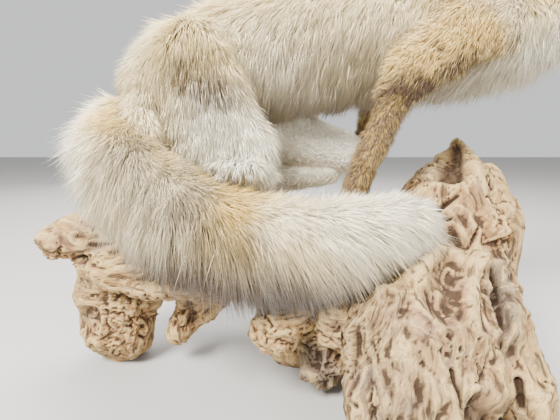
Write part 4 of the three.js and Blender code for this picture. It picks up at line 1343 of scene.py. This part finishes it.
def woodMaterial():
    # bleached and tan wood with grain along the log and down the roots, darker in its cracks and carved
    # hollows, with painted shade in every hollow and painted highlight on every ridge
    material, tree, shader = newMaterial("bleachedWood")
    marks = node(tree, "ShaderNodeAttribute", attribute_name="woodMarks")
    grain = node(tree, "ShaderNodeAttribute", attribute_name="woodGrain")
    mark = node(tree, "ShaderNodeSeparateColor", {0: marks.outputs["Color"]})
    fibre = node(tree, "ShaderNodeSeparateColor", {0: grain.outputs["Color"]})
    place = node(tree, "ShaderNodeTexCoord").outputs["Object"]
    warp = node(tree, "ShaderNodeTexNoise", {"Vector": place, "Scale": 14.0, "Detail": 2.0})
    swirl = node(tree, "ShaderNodeVectorMath", {0: warp.outputs["Color"], 1: (0.06, 0.06, 0.06)},
                 operation="MULTIPLY")
    bent = node(tree, "ShaderNodeVectorMath", {0: place, 1: swirl.outputs[0]}, operation="ADD").outputs[0]
    runLog = node(tree, "ShaderNodeMapping", {"Vector": bent, "Scale": (70, 480, 480)})
    runRoot = node(tree, "ShaderNodeMapping", {"Vector": bent, "Scale": (480, 480, 60)})
    run = node(tree, "ShaderNodeMix", {0: fibre.outputs[1], 4: runLog.outputs[0], 5: runRoot.outputs[0]},
               data_type="VECTOR").outputs[1]
    fibres = node(tree, "ShaderNodeTexNoise", {"Vector": run, "Scale": 1.0, "Detail": 4.0, "Roughness": 0.7})
    blotch = node(tree, "ShaderNodeTexNoise",
                  {"Vector": place, "Scale": 18.0, "Detail": 6.0, "Roughness": 0.65})
    speck = node(tree, "ShaderNodeTexNoise",
                 {"Vector": place, "Scale": 380.0, "Detail": 4.0, "Roughness": 0.7})
    bands = node(tree, "ShaderNodeVectorMath", {0: run, 1: (0.28, 0.28, 0.28)}, operation="MULTIPLY")
    streak = node(tree, "ShaderNodeTexNoise", {"Vector": bands.outputs[0], "Scale": 1.0, "Detail": 3.0})
    base = curve(tree, mark.outputs[2], 0.36, 0.60)
    colour = mixColour(tree, base, woodColours["tan"], woodColours["bleached"])
    layers = [                # each mask lays its colour over those before it
        (curve(tree, blotch.outputs[0], 0.50, 0.66, 0.0, 0.8), "pink"),
        (math2(tree, "MULTIPLY", fibre.outputs[1], 0.3), "pink"),
        (curve(tree, blotch.outputs[0], 0.46, 0.30, 0.0, 0.7), "silver"),
        (math2(tree, "MULTIPLY", marks.outputs["Alpha"], 0.35), "amber"),
        # painted highlight: places raised above their neighbours made lighter
        (curve(tree, mark.outputs[0], 0.46, 0.10, 0.0, 0.8), "paleGrainAndHighlight"),
        (math2(tree, "MULTIPLY", fibre.outputs[0], 0.75), "silver"),
        (curve(tree, streak.outputs[0], 0.48, 0.32, 0.0, 0.80), "darkGrainAndShade"),
        (curve(tree, streak.outputs[0], 0.54, 0.68, 0.0, 0.75), "paleGrainAndHighlight"),
        (curve(tree, fibres.outputs[0], 0.48, 0.30, 0.0, 0.60), "darkGrainAndShade"),
        (curve(tree, speck.outputs[0], 0.58, 0.72, 0.0, 0.45), "darkGrainAndShade"),
        # painted shade: places sunk below their neighbours made darker
        (curve(tree, mark.outputs[0], 0.53, 0.84, 0.0, 0.92), "darkGrainAndShade"),
        # darker in splits, holes and carved hollows
        (math2(tree, "MULTIPLY", mark.outputs[1], 0.9), "darkGrainAndShade"),
    ]
    for mask, name in layers:
        colour = mixColour(tree, mask, colour, woodColours[name])
    tree.links.new(colour, shader.inputs["Base Color"])
    tree.links.new(curve(tree, fibres.outputs[0], 0.3, 0.7, 0.92, 0.62), shader.inputs["Roughness"])
    height = math2(tree, "ADD", math2(tree, "MULTIPLY", fibres.outputs[0], 0.7),
                   math2(tree, "MULTIPLY", speck.outputs[0], 0.35))
    height = math2(tree, "ADD", height, math2(tree, "MULTIPLY", streak.outputs[0], 1.4))
    bump = node(tree, "ShaderNodeBump", {"Height": height, "Strength": 0.9, "Distance": 0.0032})
    tree.links.new(bump.outputs[0], shader.inputs["Normal"])
    shader.inputs["Specular IOR Level"].default_value = 0.3
    return material


setStudio()
makeDriftwood()

skinPiece, darkFolds = makeSkin()
skinMap = mapSkin(skinPiece, darkFolds)
coatColour = coatColourGroup()
skinPiece.data.materials.append(skinMaterial(coatColour))
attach(skinPiece, "root")
fleshNodes = [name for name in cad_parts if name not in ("driftwood", "nose", "eye_left", "eye_right")]
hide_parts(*fleshNodes)

furMaterial = coatMaterial("foxCoat", coatColour, 0.42, 0.72)
for coatName, coatSpec in coatPieces.items():
    coatPiece = makeCoat(coatName, coatSpec, skinMap)
    coatPiece.data.materials.append(furMaterial)
    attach(coatPiece, "root")

makeEyes()
makeNose()
makeClaws()
makeWhiskers()
print("eyes, nose, claws and whiskers")
